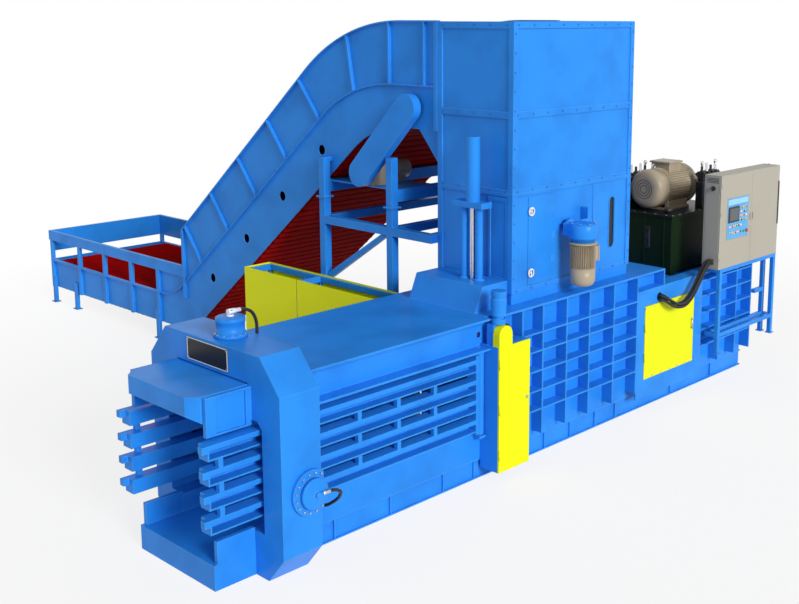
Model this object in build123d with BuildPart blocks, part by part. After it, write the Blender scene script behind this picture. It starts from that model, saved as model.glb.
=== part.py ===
import os
from math import atan, cos, degrees, radians, sin, tan

from build123d import *

os.makedirs("parts", exist_ok=True)

# Horizontal baling press with its feed conveyor, power pack and control cabinet.
# Millimetres. X runs along the press towards the power pack, Y towards the conveyor, Z up.
# The origin is on the floor, under the middle of the feed hopper.

# The channel that the bales pass along
CHANNEL_HALF = 600
WALL = 50
WALL_Y = CHANNEL_HALF + WALL
RIB_Y = WALL_Y + 170
FLOOR_Z = 260
CEILING_Z = 1570
ROOF_Z = 1980
PLATE = 20
SKID_H = 240
REAR_TOP_Z = 1750
DECK_Z = 1650

# Stations along the press
EXIT_X = -5530
PORTAL_FRONT_X = -5050
PORTAL_BACK_X = -4575
DOOR_PIN_X = -1860
PIN_R = 25
LID_PIN_R = 35
NEEDLE_X = -1560
NEEDLE_SLOT = 160
FEED_HALF = 1130
HIGH_ROOF_END_X = 1804
COVER_FRAME_X = (1170, 2760)
POST_X = 2740
BODY_END_X = 4240
SKID_END_X = 4290

# Rows and columns of the ribbed press walls
RIB_XS = [-1240, -855, -385, 85, 615, 1150]
REAR_RIB_XS = [3300, 3780]
ROW_ZS = [642, 887, 1137, 1387, 1617]
RIB_FOOT_Z = 335
FAR_RIB_XS = [1690, 2220]

# Tension portal
PORTAL_HALF = 1095
PORTAL_TOP = 2240
PORTAL_WINDOW_HALF = 805
PORTAL_WINDOW_Z = (458, 1590)
LID_SLOT_TOP = 1945
SIDE_CYLINDER = (-4719, 888)
TOP_CYLINDER_X = -4800
ROD_R = 60
BARREL_R = 140

# Squeeze doors and squeeze lid
DOOR_FRONT_X = -5620
DOOR_DEPTH = 150
BAR_H = 150
BAR_ZS = [705, 947, 1187, 1430]
DOOR_PIN_Y = WALL_Y + 50
LID_HALF = 595
LID_BOTTOM = 1590
LID_TOP = 1930
LID_FRONT_X = -5680
LID_PIN = (-1830, 1760)

# Ram and main cylinder
RAM_FACE_X = 1150
RAM_LENGTH = 2400
RAM_HALF = 590
RAM_Z = (270, 1560)
RAM_AXIS_Z = 915
MAIN_BARREL_R = 150
MAIN_BORE_R = 115
MAIN_ROD_R = 70
MAIN_BARREL_X = 1450

# Tying unit
COLUMN_X = (-1800, -1250)
COLUMN_Y = -930
COLUMN_Z = (130, 1650)
TOWER_X = -1570
TOWER_TOP = 1900
TWIST_SHAFT = (-1685, -830)
WIRE_ZS = [450, 750, 1050, 1350]
GUARD_X = (-1780, -1330)
GUARD_END_Y = 3950
GUARD_TOP = 1850
CARRIAGE_Y = 2350

# Hopper
HOPPER_HALF_X = 1188
HOPPER_HALF_Y = 600
HOPPER_Z = (2110, 3330, 4256, 5339)
HOPPER_WALL = 30
SIDE_DOOR_X = (-880, -410)
SIDE_DOOR_Z = (2200, 3240)
LATCH_X = -855
LATCH_ZS = (3083, 2328)
WINDOW_X = 813
WINDOW_Z = 2735
WINDOW_SIZE = (670, 110)
ROTOR = (-190, 2830)

# Tamper over the throat box
THROAT_X = (-1780, -1210)
THROAT_HALF = 550
THROAT_TOP = 2280
TAMPER = (-1430, -190)
BRACKET_Z = 3160
TAMPER_BARREL_Z = (3230, 4000)
TAMPER_POST_YS = (-290, -56)
TAMPER_SHOE_Z = (2080, 2120)

# Power pack
TANK_X = (2670, 4150)
TANK_Y = (-350, 590)
TANK_Z = (1700, 2540)
MOTOR_YZ = (200, 2870)
MOTOR_X = (2720, 3800)
MOTOR_R = 290

# Control cabinet and its stand
CABINET_X = (2820, 4530)
CABINET_Y = (-1050, -780)
CABINET_Z = (1820, 3180)
CABINET_SEAM_X = 3710
CABINET_SHEET = 4
PANEL_X = (3010, 3610)
PANEL_Z = (2230, 2830)
BUTTON_X = 3480
BUTTON_Z = 2310
STOP_X = 3560
ISOLATOR = (-930, 2993)
STAND_Z = 560
LEG_XS = (2900, 4480)
LEG = 60

# Conveyor, drawn in the plane across the press
CONVEYOR_HALF = 1168
SIDE_T = 16
INCLINE = 39.5
SLOPE = tan(radians(INCLINE))
HEAD_TOP_Z = 5350
HEAD_BELT_Z = 4550
HEAD_LOW_Z = 3990
TOP_ANCHOR = (3330, 4560)
BELT_ANCHOR = (2850, 4060)
LOW_ANCHOR = (2780, 3196)
GUARD_FOOT = (6461, 1980)
TABLE_RAIL_Z = 1380
TABLE_BELT_Z = 830
TABLE_LOW_Z = 300
TABLE_END_Y = 10960
HEAD_SHAFT = (1070, 4261)
TAIL_SHAFT = (10660, 556)
DRIVE_SHAFT = (1960, 3350)
SLAT_PITCH = 150
BELT_T = 25
SLAT_H = 30
HOLE_YS = [2910, 3820, 4730, 5660]
POST_YS = (2680, 1330)
POST_SIZE = 110


def block(x0, x1, y0, y1, z0, z1, mode=Mode.ADD):
    """A box between two corners, added to the part that is being built."""
    with Locations(((x0 + x1) / 2, (y0 + y1) / 2, (z0 + z1) / 2)):
        Box(abs(x1 - x0), abs(y1 - y0), abs(z1 - z0), mode=mode)


def drum(start, direction, radius, length, mode=Mode.ADD):
    """A cylinder that grows from a point along a direction."""
    with Locations(Plane(origin=start, z_dir=direction)):
        Cylinder(radius, length, align=(Align.CENTER, Align.CENTER, Align.MIN), mode=mode)


def prism(plane, points, depth, mode=Mode.ADD):
    """A straight extrusion of a polygon drawn on a plane."""
    with BuildSketch(plane) as outline:
        with BuildLine():
            Polyline(*points, close=True)
        make_face()
    extrude(outline.sketch, amount=depth, mode=mode)


def side_plane(y):
    """A plane drawn with X to the right and Z up. A positive extrusion runs towards -Y."""
    return Plane(origin=(0, y, 0), x_dir=(1, 0, 0), z_dir=(0, -1, 0))


def cross_plane(x):
    """A plane facing +X, drawn with Y to the right and Z up."""
    return Plane(origin=(x, 0, 0), x_dir=(0, 1, 0), z_dir=(1, 0, 0))


def belt_y(anchor, z):
    """Where an incline line through an anchor point reaches a height."""
    return anchor[0] + (anchor[1] - z) / SLOPE


# Base frame under the press, with the channel floor on it
SKID_WEB = 30
SKIN_T = 15
CROSS_PLATE_XS = (PORTAL_BACK_X, -3000, -1200, 600, 2400, SKID_END_X - PLATE)
SKID_STIFFENER_XS = [-4050, -3250, -2420, -1900, -583, -60, 480, 939, 2300, 3400]

with BuildPart() as base_skid:
    block(PORTAL_BACK_X, SKID_END_X, -WALL_Y, WALL_Y, 0, SKIN_T)
    block(PORTAL_BACK_X, SKID_END_X, -WALL_Y, WALL_Y, SKID_H - SKIN_T, SKID_H)
    block(PORTAL_BACK_X, BODY_END_X, -CHANNEL_HALF, CHANNEL_HALF, SKID_H, FLOOR_Z)
    for side in (-1, 1):
        block(
            PORTAL_BACK_X, SKID_END_X,
            side * (WALL_Y - SKID_WEB - PLATE), side * (WALL_Y - SKID_WEB), SKIN_T, SKID_H - SKIN_T,
        )
        for x in SKID_STIFFENER_XS:
            block(x, x + SKIN_T, side * (WALL_Y - SKID_WEB), side * WALL_Y, SKIN_T, SKID_H - SKIN_T)
    for x in CROSS_PLATE_XS:
        block(x, x + PLATE, -WALL_Y + SKID_WEB, WALL_Y - SKID_WEB, SKIN_T, SKID_H - SKIN_T)
base_skid.part.label = "base_skid"
export_step(base_skid.part, "parts/base_skid.step")

# Floor box at the bale exit, with its low side walls
EXIT_WALL_TOP = 490

with BuildPart() as exit_floor:
    block(EXIT_X, PORTAL_FRONT_X, -WALL_Y, WALL_Y, 0, SKIN_T)
    block(EXIT_X, PORTAL_FRONT_X, -WALL_Y, WALL_Y, FLOOR_Z - PLATE, FLOOR_Z)
    block(EXIT_X, EXIT_X + PLATE, -WALL_Y, WALL_Y, SKIN_T, FLOOR_Z - PLATE)
    for side in (-1, 1):
        block(EXIT_X, PORTAL_FRONT_X, side * CHANNEL_HALF, side * WALL_Y, SKIN_T, FLOOR_Z - PLATE)
        block(EXIT_X + 40, PORTAL_FRONT_X, side * CHANNEL_HALF, side * WALL_Y, FLOOR_Z, EXIT_WALL_TOP)
exit_floor.part.label = "exit_floor"
export_step(exit_floor.part, "parts/exit_floor.step")

# Tension portal, an eight-sided ring around the channel, with the side channels in front of it
PORTAL_OUTLINE = [
    (-PORTAL_HALF, 286), (-855, 0), (855, 0), (PORTAL_HALF, 286),
    (PORTAL_HALF, 1903), (803, PORTAL_TOP), (-803, PORTAL_TOP), (-PORTAL_HALF, 1903),
]
SLOT_HALF = CHANNEL_HALF
PORTAL_OPENING = [
    (-CHANNEL_HALF, FLOOR_Z), (CHANNEL_HALF, FLOOR_Z),
    (CHANNEL_HALF, PORTAL_WINDOW_Z[0]), (PORTAL_WINDOW_HALF, PORTAL_WINDOW_Z[0]),
    (PORTAL_WINDOW_HALF, PORTAL_WINDOW_Z[1] - 70), (PORTAL_WINDOW_HALF - 70, PORTAL_WINDOW_Z[1]),
    (SLOT_HALF, PORTAL_WINDOW_Z[1]), (SLOT_HALF, LID_SLOT_TOP),
    (-SLOT_HALF, LID_SLOT_TOP), (-SLOT_HALF, PORTAL_WINDOW_Z[1]),
    (-PORTAL_WINDOW_HALF + 70, PORTAL_WINDOW_Z[1]), (-PORTAL_WINDOW_HALF, PORTAL_WINDOW_Z[1] - 70),
    (-PORTAL_WINDOW_HALF, PORTAL_WINDOW_Z[0]), (-CHANNEL_HALF, PORTAL_WINDOW_Z[0]),
]
PORTAL_DEPTH = PORTAL_BACK_X - PORTAL_FRONT_X
SIDE_CHANNEL_X = -5560
SIDE_CHANNEL_Z = (1536, 1922)

with BuildPart() as portal_frame:
    prism(cross_plane(PORTAL_FRONT_X), PORTAL_OUTLINE, PORTAL_DEPTH)
    prism(cross_plane(PORTAL_FRONT_X), PORTAL_OPENING, PORTAL_DEPTH, Mode.SUBTRACT)
    for side in (-1, 1):
        drum((SIDE_CYLINDER[0], side * PORTAL_HALF, SIDE_CYLINDER[1]), (0, -side, 0),
             BARREL_R, PORTAL_HALF - PORTAL_WINDOW_HALF, Mode.SUBTRACT)
        low, high = SIDE_CHANNEL_Z
        block(SIDE_CHANNEL_X, PORTAL_FRONT_X, side * CHANNEL_HALF, side * (WALL_Y - 30), low, high)
        for z in (low, high - PLATE):
            block(SIDE_CHANNEL_X, PORTAL_FRONT_X, side * CHANNEL_HALF, side * WALL_Y, z, z + PLATE)
        block(SIDE_CHANNEL_X, SIDE_CHANNEL_X + 110, side * CHANNEL_HALF, side * WALL_Y, low, high)
        block(PORTAL_FRONT_X - 60, PORTAL_FRONT_X, side * CHANNEL_HALF, side * WALL_Y, low, high)
    drum((TOP_CYLINDER_X, 0, PORTAL_TOP), (0, 0, -1), BARREL_R, PORTAL_TOP - LID_SLOT_TOP, Mode.SUBTRACT)
portal_frame.part.label = "portal_frame"
export_step(portal_frame.part, "parts/portal_frame.step")

# Side frames that carry the squeeze doors, between the portal and the tying unit
FRAME_END_X = NEEDLE_X - NEEDLE_SLOT / 2
FRAME_OPENING_Z = (575, 1595)
FRAME_OPENING_END_X = -1790
CORNER = 100
FLANGE_T = 25
FLANGE_RISE = 5
LUG_DROP = 40
LUG_T = 30


def side_frame(side):
    """Window frame of one channel side: low wall, top beam, end post, flanges and hinge lugs."""
    inner = side * CHANNEL_HALF
    low, high = FRAME_OPENING_Z
    block(PORTAL_BACK_X, FRAME_END_X, inner, side * WALL_Y, SKID_H, ROOF_Z - FLANGE_T)
    window = [
        (PORTAL_BACK_X, low), (FRAME_OPENING_END_X - CORNER, low),
        (FRAME_OPENING_END_X, low + CORNER), (FRAME_OPENING_END_X, high - CORNER),
        (FRAME_OPENING_END_X - CORNER, high), (PORTAL_BACK_X, high),
    ]
    start = -WALL_Y if side < 0 else WALL_Y
    prism(side_plane(start), window, side * WALL, Mode.SUBTRACT)
    block(PORTAL_BACK_X, COLUMN_X[0] - 5, side * WALL_Y, side * RIB_Y, high + FLANGE_RISE,
          high + FLANGE_RISE + FLANGE_T)
    block(DOOR_PIN_X - 60, DOOR_PIN_X + 45, side * WALL_Y, side * (DOOR_PIN_Y + 60), low - LUG_DROP,
          low - LUG_DROP + LUG_T)
    for z in (high + FLANGE_RISE, low - LUG_DROP):
        drum((DOOR_PIN_X, side * DOOR_PIN_Y, z), (0, 0, 1), PIN_R, LUG_T, Mode.SUBTRACT)
    drum((LID_PIN[0], side * (CHANNEL_HALF - 10), LID_PIN[1]), (0, side, 0), LID_PIN_R, 80, Mode.SUBTRACT)


with BuildPart() as near_side_frame:
    side_frame(-1)
near_side_frame.part.label = "near_side_frame"
export_step(near_side_frame.part, "parts/near_side_frame.step")

with BuildPart() as far_side_frame:
    side_frame(1)
far_side_frame.part.label = "far_side_frame"
export_step(far_side_frame.part, "parts/far_side_frame.step")

# Hinge pins of the two doors and the lid
DOOR_PIN_Z = (FRAME_OPENING_Z[0] - LUG_DROP, FRAME_OPENING_Z[1] + FLANGE_T)

with BuildPart() as hinge_pins:
    for side in (-1, 1):
        drum((DOOR_PIN_X, side * DOOR_PIN_Y, DOOR_PIN_Z[0]), (0, 0, 1), PIN_R, DOOR_PIN_Z[1] - DOOR_PIN_Z[0])
    drum((LID_PIN[0], -WALL_Y, LID_PIN[1]), (0, 1, 0), LID_PIN_R, 2 * WALL_Y)
hinge_pins.part.label = "hinge_pins"
export_step(hinge_pins.part, "parts/hinge_pins.step")

# Squeeze doors: channel bars on a hinged end post, with short posts between the bars
BAR_WEB = 20
BAR_FLANGE = 16
SHORT_POST_XS = [-5480, -3760, -3200, -2640]
KNUCKLE_R = 50
KNUCKLE_Z = (580, 1585)
HINGE_BAR_Z = (595, 1550)
PIN_GAP = 0.5
PAD_T = 20
PAD_Z = (790, 1010)


def squeeze_door(side):
    """One slatted channel wall, hinged at its rear end."""
    inner = side * CHANNEL_HALF
    outer = side * (CHANNEL_HALF + DOOR_DEPTH)
    for z in BAR_ZS:
        low = z - BAR_H / 2
        high = z + BAR_H / 2
        block(DOOR_FRONT_X, DOOR_PIN_X - 60, inner, inner + side * BAR_WEB, low, high)
        block(DOOR_FRONT_X, DOOR_PIN_X - 60, inner, outer, low, low + BAR_FLANGE)
        block(DOOR_FRONT_X, DOOR_PIN_X - 60, inner, outer, high - BAR_FLANGE, high)
        block(DOOR_FRONT_X, DOOR_PIN_X - 60, outer - side * BAR_FLANGE, outer, high - 50, high)
        block(DOOR_FRONT_X, DOOR_FRONT_X + 16, inner, outer, low, high)
        block(DOOR_FRONT_X - 60, DOOR_FRONT_X, outer - side * 70, outer, high - 70, high)
    for lower, upper in zip(BAR_ZS, BAR_ZS[1:]):
        for x in SHORT_POST_XS:
            block(x - 25, x + 25, outer - side * 60, outer, lower + BAR_H / 2, upper - BAR_H / 2)
    block(DOOR_PIN_X - 110, DOOR_PIN_X - 60, inner, outer, BAR_ZS[0] - 110, BAR_ZS[-1] + 120)
    block(DOOR_PIN_X - 110, DOOR_PIN_X, side * (DOOR_PIN_Y - 20), side * (DOOR_PIN_Y + 20), *HINGE_BAR_Z)
    block(SIDE_CYLINDER[0] - 130, SIDE_CYLINDER[0] + 130, outer, outer + side * PAD_T, *PAD_Z)
    low, high = KNUCKLE_Z
    drum((DOOR_PIN_X, side * DOOR_PIN_Y, low), (0, 0, 1), KNUCKLE_R, high - low)
    drum((DOOR_PIN_X, side * DOOR_PIN_Y, low - 10), (0, 0, 1), PIN_R + PIN_GAP, high - low + 25,
         Mode.SUBTRACT)


with BuildPart() as near_squeeze_door:
    squeeze_door(-1)
near_squeeze_door.part.label = "near_squeeze_door"
export_step(near_squeeze_door.part, "parts/near_squeeze_door.step")

with BuildPart() as far_squeeze_door:
    squeeze_door(1)
far_squeeze_door.part.label = "far_squeeze_door"
export_step(far_squeeze_door.part, "parts/far_squeeze_door.step")

# Squeeze lid, a box beam over the channel, hinged at its rear end
LID_SKIN = 30
LID_REAR_X = -1880
LID_CHAMFER = 105

with BuildPart() as squeeze_lid:
    prism(
        side_plane(LID_HALF),
        [(LID_FRONT_X, LID_TOP), (LID_FRONT_X, 1740), (-5440, LID_BOTTOM),
         (LID_REAR_X, LID_BOTTOM), (LID_REAR_X, LID_TOP)],
        2 * LID_HALF,
    )
    for side in (-1, 1):
        corner = [(LID_FRONT_X, side * LID_HALF), (LID_FRONT_X + LID_CHAMFER, side * LID_HALF),
                  (LID_FRONT_X, side * (LID_HALF - LID_CHAMFER))]
        prism(Plane.XY.offset(LID_BOTTOM), corner, LID_TOP - LID_BOTTOM, Mode.SUBTRACT)
    block(-5400, LID_REAR_X, -LID_HALF + LID_SKIN, LID_HALF - LID_SKIN,
          LID_BOTTOM + LID_SKIN, LID_TOP - LID_SKIN, Mode.SUBTRACT)
    for y in (-400, 400):
        block(LID_REAR_X - 60, LID_PIN[0], y - 60, y + 60, LID_PIN[1] - 55, LID_PIN[1] + 55)
    block(LID_REAR_X - 60, LID_REAR_X, -LID_HALF, LID_HALF, LID_BOTTOM, LID_TOP)
    drum((LID_PIN[0], -560, LID_PIN[1]), (0, 1, 0), 60, 1120)
    drum((LID_PIN[0], -580, LID_PIN[1]), (0, 1, 0), LID_PIN_R + PIN_GAP, 1160, Mode.SUBTRACT)
squeeze_lid.part.label = "squeeze_lid"
export_step(squeeze_lid.part, "parts/squeeze_lid.step")

# Squeeze cylinders, set into the portal, with their rods and flange bolts
FLANGE_R = 230
FLANGE_H = 40
CAP_R = 155
CAP_H = 55
BARREL_BORE_R = 110
HEAD_R = 80
ROD_CLEAR = 3
TOP_BODY_R = 141
TOP_FLANGE_R = 160
TOP_FLANGE_H = 35
BARREL_GAP = 0.3
BARREL_IN = 250


def side_cylinder(side):
    """Flange, end cap and barrel of one side cylinder. The flange is cut flat at the portal's back."""
    x, z = SIDE_CYLINDER
    face = side * PORTAL_HALF
    drum((x, face, z), (0, side, 0), FLANGE_R, FLANGE_H)
    drum((x, face + side * FLANGE_H, z), (0, side, 0), CAP_R, CAP_H)
    drum((x, face, z), (0, -side, 0), BARREL_R - BARREL_GAP, BARREL_IN)
    drum((x, face - side * BARREL_IN, z), (0, side, 0), BARREL_BORE_R, BARREL_IN - 20, Mode.SUBTRACT)
    drum((x, face + side * (FLANGE_H + CAP_H), z), (0, side, 0), 26, 45)
    drum((x, face + side * (FLANGE_H + CAP_H + 30), z), (1, 0, 0), 20, 60)
    block(PORTAL_BACK_X, PORTAL_BACK_X + 200, face - side, face + side * (FLANGE_H + 1),
          z - FLANGE_R, z + FLANGE_R, Mode.SUBTRACT)


def squeeze_rod(start, direction, length):
    """Piston, rod and pressing head, growing towards the thing that it presses."""
    drum(start, direction, BARREL_BORE_R - 1, 60)
    drum(start, direction, ROD_R, length)
    head = Vector(*start) + Vector(*direction) * (length - 25)
    drum(head, direction, HEAD_R, 25)


with BuildPart() as squeeze_cylinders:
    for side in (-1, 1):
        side_cylinder(side)
    drum((TOP_CYLINDER_X, 0, PORTAL_TOP), (0, 0, 1), TOP_FLANGE_R, TOP_FLANGE_H)
    drum((TOP_CYLINDER_X, 0, PORTAL_TOP + TOP_FLANGE_H), (0, 0, 1), TOP_BODY_R, 165)
    drum((TOP_CYLINDER_X, 0, PORTAL_TOP), (0, 0, -1), BARREL_R - BARREL_GAP, 260)
    drum((TOP_CYLINDER_X, 0, PORTAL_TOP - 260), (0, 0, 1), BARREL_BORE_R, 400, Mode.SUBTRACT)
    drum((TOP_CYLINDER_X, 0, PORTAL_TOP + 200), (0, 0, 1), 28, 70)
    drum((TOP_CYLINDER_X, 0, PORTAL_TOP + 250), (1, 0, 0), 20, 70)
squeeze_cylinders.part.label = "squeeze_cylinders"
export_step(squeeze_cylinders.part, "parts/squeeze_cylinders.step")

PAD_FACE_Y = CHANNEL_HALF + DOOR_DEPTH + PAD_T + ROD_CLEAR
SIDE_ROD_START_Y = PORTAL_HALF - 30

with BuildPart() as near_squeeze_rod:
    squeeze_rod((SIDE_CYLINDER[0], -SIDE_ROD_START_Y, SIDE_CYLINDER[1]), (0, 1, 0),
                SIDE_ROD_START_Y - PAD_FACE_Y)
near_squeeze_rod.part.label = "near_squeeze_rod"
export_step(near_squeeze_rod.part, "parts/near_squeeze_rod.step")

with BuildPart() as far_squeeze_rod:
    squeeze_rod((SIDE_CYLINDER[0], SIDE_ROD_START_Y, SIDE_CYLINDER[1]), (0, -1, 0),
                SIDE_ROD_START_Y - PAD_FACE_Y)
far_squeeze_rod.part.label = "far_squeeze_rod"
export_step(far_squeeze_rod.part, "parts/far_squeeze_rod.step")

TOP_ROD_START_Z = PORTAL_TOP + 110

with BuildPart() as top_squeeze_rod:
    squeeze_rod((TOP_CYLINDER_X, 0, TOP_ROD_START_Z), (0, 0, -1),
                TOP_ROD_START_Z - LID_TOP - ROD_CLEAR)
top_squeeze_rod.part.label = "top_squeeze_rod"
export_step(top_squeeze_rod.part, "parts/top_squeeze_rod.step")

BOLT_R = 11
BOLT_CIRCLE_R = 198
BOLT_COUNT = 16

with BuildPart() as flange_bolts:
    for side in (-1, 1):
        for i in range(BOLT_COUNT):
            angle = radians(360 * (i + 0.5) / BOLT_COUNT)
            x = SIDE_CYLINDER[0] + BOLT_CIRCLE_R * cos(angle)
            z = SIDE_CYLINDER[1] + BOLT_CIRCLE_R * sin(angle)
            if x < PORTAL_BACK_X - 2 * BOLT_R:
                drum((x, side * (PORTAL_HALF + FLANGE_H), z), (0, side, 0), BOLT_R, 16)
flange_bolts.part.label = "flange_bolts"
export_step(flange_bolts.part, "parts/flange_bolts.step")

# Blank name plate on the portal's front
with BuildPart() as name_plate:
    block(PORTAL_FRONT_X - 8, PORTAL_FRONT_X, -295, 393, 1985, 2210)
name_plate.part.label = "name_plate"
export_step(name_plate.part, "parts/name_plate.step")

# Roof, with the feed opening, its shear blade and the throat box in front of the hopper
ROOF_T = 25
THROAT_SLOPE = 130
TAMPER_WELL_X = (-1640, -1240)
TAMPER_WELL_Y = (-440, 60)

with BuildPart() as roof:
    block(PORTAL_BACK_X, HIGH_ROOF_END_X, -RIB_Y, RIB_Y, ROOF_Z - ROOF_T, ROOF_Z)
    prism(
        side_plane(THROAT_HALF),
        [(THROAT_X[0], ROOF_Z), (THROAT_X[1], ROOF_Z), (THROAT_X[1], THROAT_TOP),
         (THROAT_X[0] + THROAT_SLOPE, THROAT_TOP)],
        2 * THROAT_HALF,
    )
    block(THROAT_X[0] + THROAT_SLOPE, THROAT_X[1] - PLATE, -THROAT_HALF + PLATE, THROAT_HALF - PLATE,
          ROOF_Z, THROAT_TOP - PLATE, Mode.SUBTRACT)
    block(FRAME_END_X - 70, FRAME_END_X - 50, -CHANNEL_HALF, CHANNEL_HALF, CEILING_Z, ROOF_Z - ROOF_T)
    block(FRAME_END_X - 70, -FEED_HALF, -CHANNEL_HALF, CHANNEL_HALF, CEILING_Z, CEILING_Z + 30)
    block(-FEED_HALF - 25, -FEED_HALF, -CHANNEL_HALF, CHANNEL_HALF, CEILING_Z, ROOF_Z - ROOF_T)
    block(-FEED_HALF - 80, -FEED_HALF, -CHANNEL_HALF, CHANNEL_HALF, CEILING_Z, CEILING_Z + 80)
    block(FEED_HALF, HIGH_ROOF_END_X, -CHANNEL_HALF, CHANNEL_HALF, CEILING_Z, CEILING_Z + 30)
    block(FEED_HALF, FEED_HALF + 25, -CHANNEL_HALF, CHANNEL_HALF, CEILING_Z, ROOF_Z - ROOF_T)
    block(HIGH_ROOF_END_X - PLATE, HIGH_ROOF_END_X, -CHANNEL_HALF, CHANNEL_HALF, CEILING_Z, ROOF_Z)
    block(-FEED_HALF, FEED_HALF, -560, 560, CEILING_Z, ROOF_Z, Mode.SUBTRACT)
    block(TAMPER_WELL_X[0], TAMPER_WELL_X[1], TAMPER_WELL_Y[0], TAMPER_WELL_Y[1],
          CEILING_Z, ROOF_Z, Mode.SUBTRACT)
    drum((TAMPER[0], TAMPER[1], THROAT_TOP - 40), (0, 0, 1), 45, 80, Mode.SUBTRACT)
    block(COLUMN_X[0] - 10, TOWER_X + 15, -RIB_Y, -RIB_Y + 100, ROOF_Z - ROOF_T, ROOF_Z, Mode.SUBTRACT)
roof.part.label = "roof"
export_step(roof.part, "parts/roof.step")

# Ribbed walls of the press, with the cover frame on the near side
WALL_START_X = NEEDLE_X + NEEDLE_SLOT / 2
COVER_Z = (485, 1523)
COVER_X = (1340, 2580)
CONDUIT_HOLE = (1684, 1600)
CONDUIT_HOLE_R = 62


def press_wall(side, rib_xs):
    """Wall plate with its grid of ribs, stepped down behind the high roof."""
    block(WALL_START_X, HIGH_ROOF_END_X, side * CHANNEL_HALF, side * WALL_Y, SKID_H, ROOF_Z - ROOF_T)
    block(HIGH_ROOF_END_X, BODY_END_X, side * CHANNEL_HALF, side * WALL_Y, SKID_H, REAR_TOP_Z)
    for x in rib_xs:
        top = ROOF_Z - ROOF_T if x < HIGH_ROOF_END_X else REAR_TOP_Z
        block(x, x + PLATE, side * WALL_Y, side * RIB_Y, RIB_FOOT_Z, top)
    block(HIGH_ROOF_END_X - PLATE, HIGH_ROOF_END_X, side * WALL_Y, side * RIB_Y, REAR_TOP_Z, ROOF_Z - ROOF_T)
    block(COVER_FRAME_X[0], BODY_END_X, side * WALL_Y, side * RIB_Y, REAR_TOP_Z - PLATE, REAR_TOP_Z)
    block(BODY_END_X - PLATE, BODY_END_X, side * WALL_Y, side * RIB_Y, RIB_FOOT_Z, REAR_TOP_Z)
    block(POST_X, POST_X + 60, side * WALL_Y, side * RIB_Y, SKID_H, REAR_TOP_Z)


with BuildPart() as near_press_wall:
    press_wall(-1, RIB_XS + REAR_RIB_XS)
    for z in ROW_ZS:
        block(RIB_XS[0], COVER_FRAME_X[0], -RIB_Y, -WALL_Y, z, z + PLATE)
        block(POST_X, BODY_END_X, -RIB_Y, -WALL_Y, z, z + PLATE)
    block(COVER_FRAME_X[0], COVER_FRAME_X[1], -RIB_Y, -RIB_Y + PLATE, SKID_H, REAR_TOP_Z)
    block(COVER_X[0], COVER_X[1], -RIB_Y, -RIB_Y + PLATE, COVER_Z[0], COVER_Z[1], Mode.SUBTRACT)
    block(COVER_X[0] + 60, COVER_X[1] - 60, -WALL_Y, -CHANNEL_HALF, COVER_Z[0] + 40, COVER_Z[1] - 40,
          Mode.SUBTRACT)
    drum((CONDUIT_HOLE[0], -RIB_Y, CONDUIT_HOLE[1]), (0, 1, 0), CONDUIT_HOLE_R, PLATE, Mode.SUBTRACT)
near_press_wall.part.label = "near_press_wall"
export_step(near_press_wall.part, "parts/near_press_wall.step")

with BuildPart() as far_press_wall:
    press_wall(1, RIB_XS + FAR_RIB_XS + REAR_RIB_XS)
    for z in ROW_ZS:
        block(RIB_XS[0], BODY_END_X, WALL_Y, RIB_Y, z, z + PLATE)
far_press_wall.part.label = "far_press_wall"
export_step(far_press_wall.part, "parts/far_press_wall.step")

COVER_GAP = 5

with BuildPart() as access_cover:
    block(COVER_X[0] + COVER_GAP, COVER_X[1] - COVER_GAP, -RIB_Y - 6, -RIB_Y + PLATE,
          COVER_Z[0] + COVER_GAP, COVER_Z[1] - COVER_GAP)
    block(COVER_X[0] - 25, COVER_X[1] + 25, -RIB_Y + PLATE, -RIB_Y + PLATE + 8,
          COVER_Z[0] - 25, COVER_Z[1] + 25)
access_cover.part.label = "access_cover"
export_step(access_cover.part, "parts/access_cover.step")

# Rear end plate and the deck that carries the oil tank
END_PLATE_X = BODY_END_X - 50

with BuildPart() as rear_frame:
    block(END_PLATE_X, BODY_END_X, -CHANNEL_HALF, CHANNEL_HALF, FLOOR_Z, REAR_TOP_Z)
    block(HIGH_ROOF_END_X, END_PLATE_X, -CHANNEL_HALF, CHANNEL_HALF, DECK_Z - 50, DECK_Z)
    drum((END_PLATE_X, 0, RAM_AXIS_Z), (1, 0, 0), MAIN_BARREL_R, 50, Mode.SUBTRACT)
rear_frame.part.label = "rear_frame"
export_step(rear_frame.part, "parts/rear_frame.step")

# Ram, its piston rod and the main cylinder
RAM_SKIN = 40
RAM_FACE_T = 80
PISTON_X = 3990

with BuildPart() as ram:
    block(RAM_FACE_X, RAM_FACE_X + RAM_LENGTH, -RAM_HALF, RAM_HALF, RAM_Z[0], RAM_Z[1])
    block(RAM_FACE_X + RAM_FACE_T, RAM_FACE_X + RAM_LENGTH, -RAM_HALF + RAM_SKIN, RAM_HALF - RAM_SKIN,
          RAM_Z[0] + RAM_SKIN, RAM_Z[1] - RAM_SKIN, Mode.SUBTRACT)
ram.part.label = "ram"
export_step(ram.part, "parts/ram.step")

with BuildPart() as main_piston_rod:
    drum((RAM_FACE_X + RAM_FACE_T, 0, RAM_AXIS_Z), (1, 0, 0), MAIN_ROD_R, PISTON_X - RAM_FACE_X)
    drum((PISTON_X, 0, RAM_AXIS_Z), (1, 0, 0), MAIN_BORE_R - 1, 100)
    drum((RAM_FACE_X + RAM_FACE_T, 0, RAM_AXIS_Z), (1, 0, 0), 130, 60)
main_piston_rod.part.label = "main_piston_rod"
export_step(main_piston_rod.part, "parts/main_piston_rod.step")

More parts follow.
